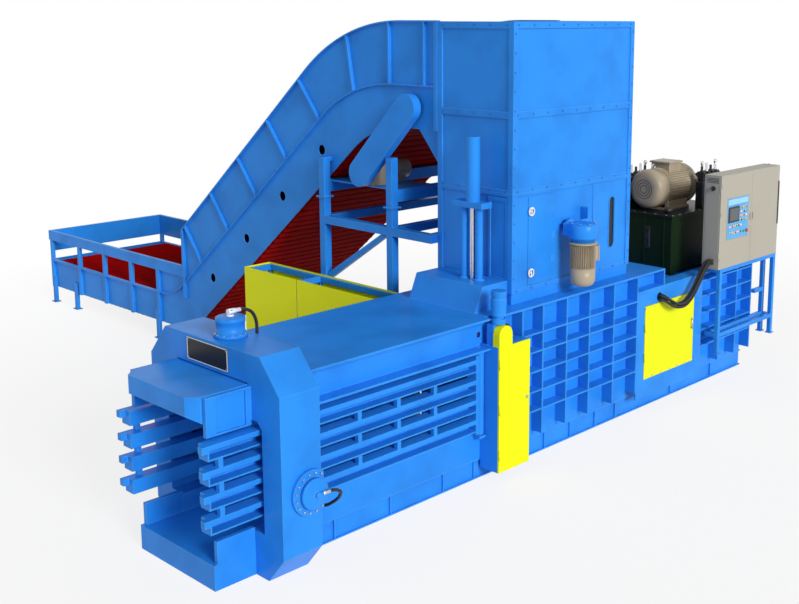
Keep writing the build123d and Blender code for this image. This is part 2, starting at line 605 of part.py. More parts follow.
with BuildPart() as main_cylinder:
    drum((MAIN_BARREL_X, 0, RAM_AXIS_Z), (1, 0, 0), MAIN_BARREL_R, BODY_END_X - MAIN_BARREL_X)
    drum((BODY_END_X, 0, RAM_AXIS_Z), (1, 0, 0), 220, 40)
    drum((MAIN_BARREL_X + 60, 0, RAM_AXIS_Z), (1, 0, 0), MAIN_BORE_R, END_PLATE_X - MAIN_BARREL_X - 60,
         Mode.SUBTRACT)
    drum((MAIN_BARREL_X, 0, RAM_AXIS_Z), (1, 0, 0), MAIN_ROD_R + 0.5, 60, Mode.SUBTRACT)
main_cylinder.part.label = "main_cylinder"
export_step(main_cylinder.part, "parts/main_cylinder.step")

# Wire tying unit: twister column, yellow guard, twister shaft and its motor
COLUMN_PLATE = 15
GUARD_T = 20
TOWER_R = (TOWER_X - COLUMN_X[0]) / 2
HOUSING_Y = (-848, -740)
TOWER_MIDDLE_Z = TOWER_TOP - 5 - TOWER_R
SHAFT_CLEAR = 33
TWIST_SHAFT_R = 30
TWISTER_MOTOR_STEPS = [(85, 60), (60, 40), (90, 200), (82, 40), (90, 50)]

with BuildPart() as twister_column:
    x0, x1 = COLUMN_X
    for x in (x0, x1 - COLUMN_PLATE):
        block(x, x + COLUMN_PLATE, COLUMN_Y, -WALL_Y - 5, COLUMN_Z[0], COLUMN_Z[1])
        block(x, x + COLUMN_PLATE, -WALL_Y - 5, -WALL_Y, 300, 500)
    block(x0, x1, COLUMN_Y, -WALL_Y - 5, COLUMN_Z[0], COLUMN_Z[0] + COLUMN_PLATE)
    block(x0, x1, COLUMN_Y, -WALL_Y - 5, COLUMN_Z[1] - COLUMN_PLATE, COLUMN_Z[1])
    block(x0 + 15, TOWER_X - 15, HOUSING_Y[0], HOUSING_Y[1], COLUMN_Z[1], TOWER_TOP)
    drum((*TWIST_SHAFT, COLUMN_Z[0]), (0, 0, 1), TWIST_SHAFT_R + 1, TOWER_TOP, Mode.SUBTRACT)
twister_column.part.label = "twister_column"
export_step(twister_column.part, "parts/twister_column.step")

with BuildPart() as twister_guard:
    prism(
        side_plane(COLUMN_Y - GUARD_T),
        [(COLUMN_X[0], COLUMN_Z[0]), (COLUMN_X[1], COLUMN_Z[0]), (COLUMN_X[1], COLUMN_Z[1]),
         (TOWER_X, COLUMN_Z[1]), (TOWER_X, TOWER_MIDDLE_Z),
         (COLUMN_X[0], TOWER_MIDDLE_Z)],
        -GUARD_T,
    )
    drum((TWIST_SHAFT[0], COLUMN_Y - GUARD_T, TOWER_MIDDLE_Z), (0, 1, 0), TOWER_R, 100)
    block(COLUMN_X[0], TOWER_X, COLUMN_Y - GUARD_T, COLUMN_Y + 80, COLUMN_Z[1], TOWER_MIDDLE_Z)
    drum((*TWIST_SHAFT, COLUMN_Z[1]), (0, 0, 1), SHAFT_CLEAR, TOWER_TOP - COLUMN_Z[1], Mode.SUBTRACT)
twister_guard.part.label = "twister_guard"
export_step(twister_guard.part, "parts/twister_guard.step")

with BuildPart() as twister_shaft:
    drum((*TWIST_SHAFT, 160), (0, 0, 1), TWIST_SHAFT_R, TOWER_TOP - 165)
    for z in WIRE_ZS:
        drum((*TWIST_SHAFT, z), (0, 0, 1), 72, 30)
        block(TWIST_SHAFT[0] - 12, TWIST_SHAFT[0] + 12, TWIST_SHAFT[1] - 76, TWIST_SHAFT[1] + 76,
              z + 30, z + 70)
twister_shaft.part.label = "twister_shaft"
export_step(twister_shaft.part, "parts/twister_shaft.step")

with BuildPart() as twister_motor:
    z = TOWER_TOP
    for radius, height in TWISTER_MOTOR_STEPS:
        drum((*TWIST_SHAFT, z), (0, 0, 1), radius, height)
        z += height
twister_motor.part.label = "twister_motor"
export_step(twister_motor.part, "parts/twister_motor.step")

# Needle guard on the far side, with the needle carriage on its rails
GUARD_SEAM_Y = 2770
GUARD_SHEET = 10
NEEDLE_R = 18
CARRIAGE_T = 60
GUARD_BOTTOM = 120
CYLINDER_Y = (2430, 3935)
NEEDLE_CYLINDER_Z = 900
NEEDLE_TIP_Y = 720
NEEDLE_POST_YS = (1000, GUARD_SEAM_Y - 30, GUARD_END_Y - 80)

with BuildPart() as needle_guard:
    x0, x1 = GUARD_X
    block(x0, x0 + GUARD_SHEET, RIB_Y + 5, GUARD_SEAM_Y - 8, GUARD_BOTTOM, GUARD_TOP)
    block(x0, x0 + GUARD_SHEET, GUARD_SEAM_Y + 8, GUARD_END_Y, GUARD_BOTTOM, GUARD_TOP)
    block(x1 - GUARD_SHEET, x1, RIB_Y + 5, GUARD_END_Y, GUARD_BOTTOM, GUARD_TOP)
    block(x0 + GUARD_SHEET, x1 - GUARD_SHEET, GUARD_END_Y - GUARD_SHEET, GUARD_END_Y,
          GUARD_BOTTOM, GUARD_TOP)
needle_guard.part.label = "needle_guard"
export_step(needle_guard.part, "parts/needle_guard.step")

RAIL = 40

with BuildPart() as needle_frame:
    x0 = GUARD_X[0] + GUARD_SHEET
    x1 = GUARD_X[1] - GUARD_SHEET
    for x in (x0, x1 - RAIL):
        block(x, x + RAIL, WALL_Y, GUARD_END_Y - GUARD_SHEET, GUARD_TOP - 100, GUARD_TOP - 20)
        block(x, x + RAIL, WALL_Y, GUARD_END_Y - GUARD_SHEET, 140, 220)
        for y in NEEDLE_POST_YS:
            block(x, x + RAIL, y, y + 60, 0, GUARD_TOP - 20)
    for y in NEEDLE_POST_YS:
        block(x0, x1, y, y + 60, GUARD_TOP - 100, GUARD_TOP - 20)
        block(x0 - 5, x1 + 5, y - 20, y + 80, 0, 15)
    drum((NEEDLE_X, CYLINDER_Y[0], NEEDLE_CYLINDER_Z), (0, 1, 0), 55, CYLINDER_Y[1] - CYLINDER_Y[0])
    drum((NEEDLE_X, CYLINDER_Y[0] - 10, NEEDLE_CYLINDER_Z), (0, 1, 0), 36, CYLINDER_Y[1] - CYLINDER_Y[0] - 5,
         Mode.SUBTRACT)
    block(x0, x1, CYLINDER_Y[1] - 40, GUARD_END_Y - GUARD_SHEET,
          NEEDLE_CYLINDER_Z - 50, NEEDLE_CYLINDER_Z + 50)
needle_frame.part.label = "needle_frame"
export_step(needle_frame.part, "parts/needle_frame.step")

with BuildPart() as needle_carriage:
    block(NEEDLE_X - 140, NEEDLE_X + 140, CARRIAGE_Y, CARRIAGE_Y + CARRIAGE_T, 380, 1430)
    for z in WIRE_ZS:
        drum((NEEDLE_X, CARRIAGE_Y, z), (0, -1, 0), NEEDLE_R, CARRIAGE_Y - NEEDLE_TIP_Y)
        with Locations(Plane(origin=(NEEDLE_X, NEEDLE_TIP_Y, z), z_dir=(0, -1, 0))):
            Cone(NEEDLE_R, 6, 40, align=(Align.CENTER, Align.CENTER, Align.MIN))
    drum((NEEDLE_X, CARRIAGE_Y + CARRIAGE_T, NEEDLE_CYLINDER_Z), (0, 1, 0), 35, 1480)
needle_carriage.part.label = "needle_carriage"
export_step(needle_carriage.part, "parts/needle_carriage.step")

# Feed hopper in two sections, with flange rails, door, window and end cover
RAIL_H = 80
RAIL_OUT = 18


def hopper_ring(z0, z1, wall):
    """A rectangular tube of hopper wall between two heights."""
    block(-HOPPER_HALF_X, HOPPER_HALF_X, -HOPPER_HALF_Y, HOPPER_HALF_Y, z0, z1)
    block(-HOPPER_HALF_X + wall, HOPPER_HALF_X - wall, -HOPPER_HALF_Y + wall, HOPPER_HALF_Y - wall,
          z0, z1, Mode.SUBTRACT)


def hopper_rail(z0, z1):
    """A flange rail around the outside of the hopper."""
    block(-HOPPER_HALF_X - RAIL_OUT, HOPPER_HALF_X + RAIL_OUT, -HOPPER_HALF_Y - RAIL_OUT,
          HOPPER_HALF_Y + RAIL_OUT, z0, z1)
    block(-HOPPER_HALF_X + HOPPER_WALL, HOPPER_HALF_X - HOPPER_WALL, -HOPPER_HALF_Y + HOPPER_WALL,
          HOPPER_HALF_Y - HOPPER_WALL, z0, z1, Mode.SUBTRACT)


def hopper_corners(z0, z1):
    """Angle strips up the four corners."""
    for x in (-1, 1):
        for y in (-1, 1):
            block(x * (HOPPER_HALF_X + RAIL_OUT), x * (HOPPER_HALF_X - 60),
                  y * (HOPPER_HALF_Y + RAIL_OUT), y * HOPPER_HALF_Y, z0, z1)
            block(x * (HOPPER_HALF_X + RAIL_OUT), x * HOPPER_HALF_X,
                  y * (HOPPER_HALF_Y + RAIL_OUT), y * (HOPPER_HALF_Y - 60), z0, z1)


with BuildPart() as hopper_base:
    hopper_ring(ROOF_Z, HOPPER_Z[1] - RAIL_H / 2, HOPPER_WALL)
    hopper_rail(HOPPER_Z[0], HOPPER_Z[0] + 60)
    hopper_rail(HOPPER_Z[1] - RAIL_H / 2, HOPPER_Z[1])
    hopper_corners(HOPPER_Z[0], HOPPER_Z[1])
    block(SIDE_DOOR_X[0], SIDE_DOOR_X[1], -HOPPER_HALF_Y, -HOPPER_HALF_Y + HOPPER_WALL,
          SIDE_DOOR_Z[0], SIDE_DOOR_Z[1], Mode.SUBTRACT)
    with BuildSketch(side_plane(-HOPPER_HALF_Y)) as window_slot:
        with Locations((WINDOW_X, WINDOW_Z)):
            SlotOverall(WINDOW_SIZE[0], WINDOW_SIZE[1], rotation=90)
    extrude(amount=-HOPPER_WALL, mode=Mode.SUBTRACT)
    block(390, 415, -HOPPER_HALF_Y - 12, -HOPPER_HALF_Y, HOPPER_Z[0] + 60, HOPPER_Z[1] - RAIL_H / 2)
    for side in (-1, 1):
        drum((ROTOR[0], side * (HOPPER_HALF_Y - HOPPER_WALL - 1), ROTOR[1]), (0, side, 0), 46,
             HOPPER_WALL + 2, Mode.SUBTRACT)
    block(-HOPPER_HALF_X - 14, -HOPPER_HALF_X, -540, -225, 2240, 3270)
    block(-HOPPER_HALF_X - 14, -HOPPER_HALF_X - 6, -500, -265, 2290, 3220, Mode.SUBTRACT)
    drum((ROTOR[0], HOPPER_HALF_Y, ROTOR[1]), (0, 1, 0), 110, 40)
    drum((ROTOR[0], HOPPER_HALF_Y, ROTOR[1]), (0, 1, 0), 46, 30, Mode.SUBTRACT)
hopper_base.part.label = "hopper_base"
export_step(hopper_base.part, "parts/hopper_base.step")

CHUTE_LOW_Z = 3560

with BuildPart() as hopper_top:
    hopper_ring(HOPPER_Z[1], HOPPER_Z[3] - RAIL_H, HOPPER_WALL)
    hopper_rail(HOPPER_Z[1], HOPPER_Z[1] + RAIL_H / 2)
    hopper_rail(HOPPER_Z[2] - RAIL_H / 2, HOPPER_Z[2] + RAIL_H / 2)
    hopper_rail(HOPPER_Z[3] - RAIL_H, HOPPER_Z[3])
    hopper_corners(HOPPER_Z[1], HOPPER_Z[3])
    block(-FEED_HALF, FEED_HALF, HOPPER_HALF_Y - 60, HOPPER_HALF_Y + 60, CHUTE_LOW_Z, HOPPER_Z[3],
          Mode.SUBTRACT)
hopper_top.part.label = "hopper_top"
export_step(hopper_top.part, "parts/hopper_top.step")

with BuildPart() as sight_window:
    with BuildSketch(side_plane(-HOPPER_HALF_Y + 20)) as window_pane:
        with Locations((WINDOW_X, WINDOW_Z)):
            SlotOverall(WINDOW_SIZE[0], WINDOW_SIZE[1], rotation=90)
    extrude(amount=10)
sight_window.part.label = "sight_window"
export_step(sight_window.part, "parts/sight_window.step")

DOOR_GAP = 4
HINGE_R = 12

with BuildPart() as hopper_side_door:
    x0, x1 = SIDE_DOOR_X
    block(x0 + DOOR_GAP, x1 - DOOR_GAP, -HOPPER_HALF_Y - 8, -HOPPER_HALF_Y + 8,
          SIDE_DOOR_Z[0] + DOOR_GAP, SIDE_DOOR_Z[1] - DOOR_GAP)
    block(x0 - 15, x1 - DOOR_GAP, -HOPPER_HALF_Y - 8, -HOPPER_HALF_Y - 2, SIDE_DOOR_Z[0] - 20,
          SIDE_DOOR_Z[1] + 20)
    for z in (2400, 2700, 3000):
        drum((x1 + 4, -HOPPER_HALF_Y - HINGE_R - 2, z), (0, 0, 1), HINGE_R, 90)
        block(x1 - 30, x1 + 4, -HOPPER_HALF_Y - HINGE_R - 2, -HOPPER_HALF_Y - 8, z, z + 90)
hopper_side_door.part.label = "hopper_side_door"
export_step(hopper_side_door.part, "parts/hopper_side_door.step")


def ring_latch(z):
    """A round ring latch with its finger on the door's edge."""
    face = -HOPPER_HALF_Y - 8
    drum((LATCH_X, face, z), (0, -1, 0), 20, 22)
    drum((LATCH_X, face - 10, z), (0, -1, 0), 55, 12)
    drum((LATCH_X, face - 8, z), (0, -1, 0), 38, 16, Mode.SUBTRACT)
    drum((LATCH_X, face, z), (0, -1, 0), 14, 22)
    block(LATCH_X - 7, LATCH_X + 7, face - 22, face - 12, z - 45, z + 45)


with BuildPart() as door_latch_upper:
    ring_latch(LATCH_ZS[0])
door_latch_upper.part.label = "door_latch_upper"
export_step(door_latch_upper.part, "parts/door_latch_upper.step")

with BuildPart() as door_latch_lower:
    ring_latch(LATCH_ZS[1])
door_latch_lower.part.label = "door_latch_lower"
export_step(door_latch_lower.part, "parts/door_latch_lower.step")

# Feed rotor across the hopper, and its hanging gear motor
PADDLE_R = 330
PADDLE_YS = (-400, -130, 140, 410)
ROTOR_SHAFT_R = 45
ROTOR_DRUM_R = 90
ROTOR_DRUM_HALF = 520

with BuildPart() as feed_rotor:
    drum((ROTOR[0], -HOPPER_HALF_Y - 60, ROTOR[1]), (0, 1, 0), ROTOR_SHAFT_R,
         2 * HOPPER_HALF_Y + 80)
    drum((ROTOR[0], -ROTOR_DRUM_HALF, ROTOR[1]), (0, 1, 0), ROTOR_DRUM_R, 2 * ROTOR_DRUM_HALF)
    for y in PADDLE_YS:
        block(ROTOR[0] - 15, ROTOR[0] + 15, y - 40, y + 40, ROTOR[1] - PADDLE_R, ROTOR[1] + PADDLE_R)
feed_rotor.part.label = "feed_rotor"
export_step(feed_rotor.part, "parts/feed_rotor.step")

GEAR_Y = -900
MOTOR_HANG_R = 165

with BuildPart() as rotor_gear_motor:
    drum((ROTOR[0], -HOPPER_HALF_Y - 62, ROTOR[1]), (0, -1, 0), 95, 60)
    drum((ROTOR[0], GEAR_Y, ROTOR[1] - 130), (0, 0, 1), 185, 200)
    block(ROTOR[0] - 120, ROTOR[0] + 150, GEAR_Y, -HOPPER_HALF_Y - 66, ROTOR[1] - 110, ROTOR[1] + 60)
    block(ROTOR[0] + 330, ROTOR[0] + 380, -HOPPER_HALF_Y - 120, -HOPPER_HALF_Y,
          ROTOR[1] - 60, ROTOR[1] + 190)
    block(ROTOR[0] + 140, ROTOR[0] + 380, -HOPPER_HALF_Y - 150, -HOPPER_HALF_Y - 110, ROTOR[1] - 60,
          ROTOR[1] + 60)
    drum((ROTOR[0], GEAR_Y, ROTOR[1] - 130), (0, 0, -1), MOTOR_HANG_R, 600)
    block(ROTOR[0] + 100, ROTOR[0] + 260, GEAR_Y - 60, GEAR_Y + 60, 2390, 2600)
rotor_gear_motor.part.label = "rotor_gear_motor"
export_step(rotor_gear_motor.part, "parts/rotor_gear_motor.step")

# Tamper: a vertical cylinder on two posts over the throat box
with BuildPart() as tamper_cylinder:
    for y in TAMPER_POST_YS:
        drum((TAMPER[0], y, THROAT_TOP), (0, 0, 1), 48, BRACKET_Z - THROAT_TOP)
        drum((TAMPER[0], y, THROAT_TOP), (0, 0, 1), 70, 15)
    block(TAMPER[0] - 90, TAMPER[0] + 90, -410, 70, BRACKET_Z, TAMPER_BARREL_Z[0])
    drum((*TAMPER, TAMPER_BARREL_Z[0]), (0, 0, 1), 85, TAMPER_BARREL_Z[1] - TAMPER_BARREL_Z[0])
    drum((*TAMPER, THROAT_TOP), (0, 0, 1), 40, TAMPER_BARREL_Z[1] - 70 - THROAT_TOP, Mode.SUBTRACT)
tamper_cylinder.part.label = "tamper_cylinder"
export_step(tamper_cylinder.part, "parts/tamper_cylinder.step")

with BuildPart() as tamper_rod:
    drum((*TAMPER, TAMPER_SHOE_Z[1]), (0, 0, 1), 35, 1750)
    block(TAMPER[0] - 150, TAMPER[0] + 150, TAMPER[1] - 200, TAMPER[1] + 200, *TAMPER_SHOE_Z)
tamper_rod.part.label = "tamper_rod"
export_step(tamper_rod.part, "parts/tamper_rod.step")

# Oil tank on the rear deck, with the pump motor and the valve blocks on its lid
LID_T = 30
TANK_SHEET = 8
LID_OUT = 25

with BuildPart() as oil_tank:
    block(TANK_X[0], TANK_X[1], TANK_Y[0], TANK_Y[1], TANK_Z[0], TANK_Z[1] - LID_T)
    block(TANK_X[0] + TANK_SHEET, TANK_X[1] - TANK_SHEET, TANK_Y[0] + TANK_SHEET, TANK_Y[1] - TANK_SHEET,
          TANK_Z[0] + TANK_SHEET, TANK_Z[1] - LID_T, Mode.SUBTRACT)
    block(TANK_X[0] - LID_OUT, TANK_X[1] + LID_OUT, TANK_Y[0] - LID_OUT, TANK_Y[1] + LID_OUT,
          TANK_Z[1] - LID_T, TANK_Z[1])
    for x in (TANK_X[0] + 30, TANK_X[1] - 130):
        for y in (TANK_Y[0] + 10, CHANNEL_HALF - 110):
            block(x, x + 100, y, y + 100, DECK_Z, TANK_Z[0])
oil_tank.part.label = "oil_tank"
export_step(oil_tank.part, "parts/oil_tank.step")

MOTOR_FOOT_Z = TANK_Z[1]
TERMINAL_Z = (3230, 3255)

with BuildPart() as pump_motor:
    y, z = MOTOR_YZ
    drum((MOTOR_X[0] + 60, y, z), (1, 0, 0), MOTOR_R, MOTOR_X[1] - MOTOR_X[0] - 160)
    with Locations(Plane(origin=(MOTOR_X[0] + 60, y, z), z_dir=(-1, 0, 0))):
        Cone(MOTOR_R, MOTOR_R - 60, 60, align=(Align.CENTER, Align.CENTER, Align.MIN))
    drum((MOTOR_X[1] - 100, y, z), (1, 0, 0), MOTOR_R + 25, 30)
    drum((MOTOR_X[1] - 70, y, z), (1, 0, 0), 190, 150)
    drum((MOTOR_X[1] + 80, y, z), (1, 0, 0), 120, 190)
    block(MOTOR_X[0] + 220, MOTOR_X[1] - 200, y - 230, y + 230, MOTOR_FOOT_Z, z - 200)
    block(MOTOR_X[0] + 450, MOTOR_X[0] + 750, y - 150, y + 150, z + 200, TERMINAL_Z[0])
    block(MOTOR_X[0] + 420, MOTOR_X[0] + 780, y - 180, y + 180, *TERMINAL_Z)
pump_motor.part.label = "pump_motor"
export_step(pump_motor.part, "parts/pump_motor.step")


VALVE_STACKS = ((2720, 3320, 495, 585, 3240, 5), (3560, 4060, -300, -180, 3260, 4))


def valve_stack(x0, x1, y0, y1, top, count):
    """A manifold block on the tank lid with a row of solenoid valves."""
    block(x0, x1, y0, y1, TANK_Z[1], top - 190)
    pitch = (x1 - x0) / count
    for i in range(count):
        x = x0 + (i + 0.5) * pitch
        block(x - 0.32 * pitch, x + 0.32 * pitch, y0 - 40, y1 + 40, top - 190, top - 90)
        drum((x, (y0 + y1) / 2, top - 90), (0, 0, 1), 0.28 * pitch, 90)


with BuildPart() as valve_blocks:
    for stack in VALVE_STACKS:
        valve_stack(*stack)
valve_blocks.part.label = "valve_blocks"
export_step(valve_blocks.part, "parts/valve_blocks.step")

# Control cabinet: shell, two doors with the operator panel, buttons and the main isolator
DOOR_T = 18
DOOR_SHEET = 3
HMI_T = 6
KNOB_R = 32
STEM_R = 10.5
KNOB_STEM_R = 7.5

with BuildPart() as cabinet_shell:
    x0, x1 = CABINET_X
    y0, y1 = CABINET_Y
    z0, z1 = CABINET_Z
    block(x0, x1, y0 + DOOR_T, y1, z0, z1)
    block(x0 + CABINET_SHEET, x1 - CABINET_SHEET, y0 + DOOR_T, y1 - CABINET_SHEET,
          z0 + CABINET_SHEET, z1 - CABINET_SHEET, Mode.SUBTRACT)
    drum((x0, ISOLATOR[0], ISOLATOR[1]), (1, 0, 0), KNOB_STEM_R + 0.5, 10, Mode.SUBTRACT)
cabinet_shell.part.label = "cabinet_shell"
export_step(cabinet_shell.part, "parts/cabinet_shell.step")


def cabinet_door(x0, x1, pin_x):
    """A folded door with its edges turned back, on a hinge barrel at the cabinet's side."""
    y0 = CABINET_Y[0]
    z0, z1 = CABINET_Z
    block(x0, x1, y0, y0 + DOOR_SHEET, z0, z1)
    block(x0, x0 + DOOR_SHEET, y0, y0 + DOOR_T - 2, z0, z1)
    block(x1 - DOOR_SHEET, x1, y0, y0 + DOOR_T - 2, z0, z1)
    block(x0, x1, y0, y0 + DOOR_T - 2, z0, z0 + DOOR_SHEET)
    block(x0, x1, y0, y0 + DOOR_T - 2, z1 - DOOR_SHEET, z1)
    for z in (z0 + 150, z1 - 230):
        drum((pin_x, y0 + 9, z), (0, 0, 1), 8, 80)


with BuildPart() as cabinet_left_door:
    cabinet_door(CABINET_X[0] + 2, CABINET_SEAM_X - 2, CABINET_X[0] + 2)
    y0 = CABINET_Y[0]
    block(PANEL_X[0], PANEL_X[1], y0 - HMI_T, y0, PANEL_Z[0], PANEL_Z[1])
    for x in (BUTTON_X, STOP_X):
        drum((x, y0 - HMI_T, BUTTON_Z), (0, 1, 0), STEM_R + 0.5, 20, Mode.SUBTRACT)
cabinet_left_door.part.label = "cabinet_left_door"
export_step(cabinet_left_door.part, "parts/cabinet_left_door.step")

with BuildPart() as cabinet_right_door:
    cabinet_door(CABINET_SEAM_X + 2, CABINET_X[1] - 2, CABINET_X[1] - 2)
cabinet_right_door.part.label = "cabinet_right_door"
export_step(cabinet_right_door.part, "parts/cabinet_right_door.step")


def push_button(x, head_r, head_h):
    """A round head on a stem through the door."""
    face = CABINET_Y[0] - HMI_T
    drum((x, face - 6, BUTTON_Z), (0, -1, 0), head_r, head_h)
    drum((x, face - 6, BUTTON_Z), (0, 1, 0), STEM_R, 22)


with BuildPart() as start_button:
    push_button(BUTTON_X, 17, 12)
start_button.part.label = "start_button"
export_step(start_button.part, "parts/start_button.step")

with BuildPart() as emergency_stop:
    push_button(STOP_X, 24, 22)
emergency_stop.part.label = "emergency_stop"
export_step(emergency_stop.part, "parts/emergency_stop.step")

with BuildPart() as isolator_knob:
    drum((CABINET_X[0] - 1, ISOLATOR[0], ISOLATOR[1]), (-1, 0, 0), KNOB_R, 18)
    block(CABINET_X[0] - 45, CABINET_X[0] - 19, ISOLATOR[0] - 8, ISOLATOR[0] + 8,
          ISOLATOR[1] - 34, ISOLATOR[1] + 34)
    drum((CABINET_X[0] - 1, ISOLATOR[0], ISOLATOR[1]), (1, 0, 0), KNOB_STEM_R, 11)
isolator_knob.part.label = "isolator_knob"
export_step(isolator_knob.part, "parts/isolator_knob.step")

FRONT_Y = -1040
ARM_END_Y = -RIB_Y
LOW_RAIL_Z = 800
TIE_Z = 1200

with BuildPart() as cabinet_stand:
    for x in LEG_XS:
        block(x, x + LEG, FRONT_Y, FRONT_Y + LEG, STAND_Z, CABINET_Z[0])
        block(x - 20, x + LEG + 20, FRONT_Y - 20, FRONT_Y + LEG + 20, STAND_Z - 12, STAND_Z)
        block(x, x + LEG, FRONT_Y + LEG, CABINET_Y[1], CABINET_Z[0] - LEG, CABINET_Z[0])
    for z in (LOW_RAIL_Z, CABINET_Z[0] - LEG):
        block(LEG_XS[0], LEG_XS[1] + LEG, FRONT_Y, FRONT_Y + LEG, z, z + LEG)
        block(LEG_XS[0], LEG_XS[1] + LEG, ARM_END_Y - LEG, ARM_END_Y, z, z + LEG)
    for x in LEG_XS:
        block(x, x + LEG, FRONT_Y + LEG, ARM_END_Y, LOW_RAIL_Z, LOW_RAIL_Z + LEG)
    block(LEG_XS[1], LEG_XS[1] + LEG, ARM_END_Y - LEG, ARM_END_Y, STAND_Z, CABINET_Z[0] - LEG)
    block(LEG_XS[1] - 20, LEG_XS[1] + LEG + 20, ARM_END_Y - LEG - 20, ARM_END_Y + 20, STAND_Z - 12, STAND_Z)
    block(BODY_END_X, LEG_XS[1], ARM_END_Y - LEG, ARM_END_Y, TIE_Z, TIE_Z + LEG)
cabinet_stand.part.label = "cabinet_stand"
export_step(cabinet_stand.part, "parts/cabinet_stand.step")

# Conveyor outline: parallel lines, rounded at the bends
JOIN_Y = HOPPER_HALF_Y + RAIL_OUT + 2
FRAME_END_Y = 7190
TOP_BEND_R = 3000
BELT_BEND_R = 2250
LOW_BEND_R = 1500
BELT_FOOT_R = 1000
LOW_FOOT_R = 1500
RIB_OUT = 45


def lowered(line, d):
    """Bend and foot of a head, incline and table line, lowered squarely by a distance."""
    anchor, head_z, foot_z = line
    shifted = (anchor[0], anchor[1] - d / cos(radians(INCLINE)))
    bend = (belt_y(shifted, head_z - d), head_z - d)
    foot = (belt_y(shifted, foot_z - d), foot_z - d)
    return bend, foot


TOP_LINE = (TOP_ANCHOR, HEAD_TOP_Z, GUARD_FOOT[1])
BELT_LINE = (BELT_ANCHOR, HEAD_BELT_Z, TABLE_BELT_Z)
LOW_LINE = (LOW_ANCHOR, HEAD_LOW_Z, TABLE_LOW_Z)


def side_band(line, d0, d1, radii, end_y):
    """The closed outline between two parallels of a line, from the hopper to a place down the line."""
    bend0, foot0 = lowered(line, d0)
    bend1, foot1 = lowered(line, d1)
    bend_r, foot_r = radii
    ends = [] if end_y is None else [(end_y, foot0[1]), (end_y, foot1[1])]
    points = [(JOIN_Y, bend0[1]), bend0, foot0, *ends, foot1, bend1, (JOIN_Y, bend1[1])]
    fillets = [0, bend_r - d0, foot_r, *[0 for _ in ends], foot_r, bend_r - d1, 0]
    FilletPolyline(*points, radius=fillets, close=True)


def incline_rib(line, y, reach, width):
    """Corners of a rib that stands squarely on a line of the incline."""
    foot = Vector(y, line[0][1] - SLOPE * (y - line[0][0]))
    along = Vector(cos(radians(INCLINE)), -sin(radians(INCLINE))) * (width / 2)
    up = Vector(sin(radians(INCLINE)), cos(radians(INCLINE))) * reach
    return [tuple(p)[:2] for p in (foot - along, foot + along, foot + along + up, foot - along + up)]


INCLINE_RIB_YS = [2930 + 750 * i for i in range(5)]
HEAD_RIB_YS = (860, 1500)
BEND_RIB = [(2188, 4426), (2212, 4424), (2342, 5150), (2318, 5155)]
TIE_YS = [2450, 3360, 4270, 5190]
HOLE_DROP = 440
HOLE_R = 70
TIE_R = 40
SHAFT_HOLE_R = 46
RAIL_W = 20
RIB_W = 24
RIB_REACH = 690


def below_belt(y):
    """Height of the row of cross tubes and inspection holes under the belt line."""
    return BELT_ANCHOR[1] - SLOPE * (y - BELT_ANCHOR[0]) - HOLE_DROP


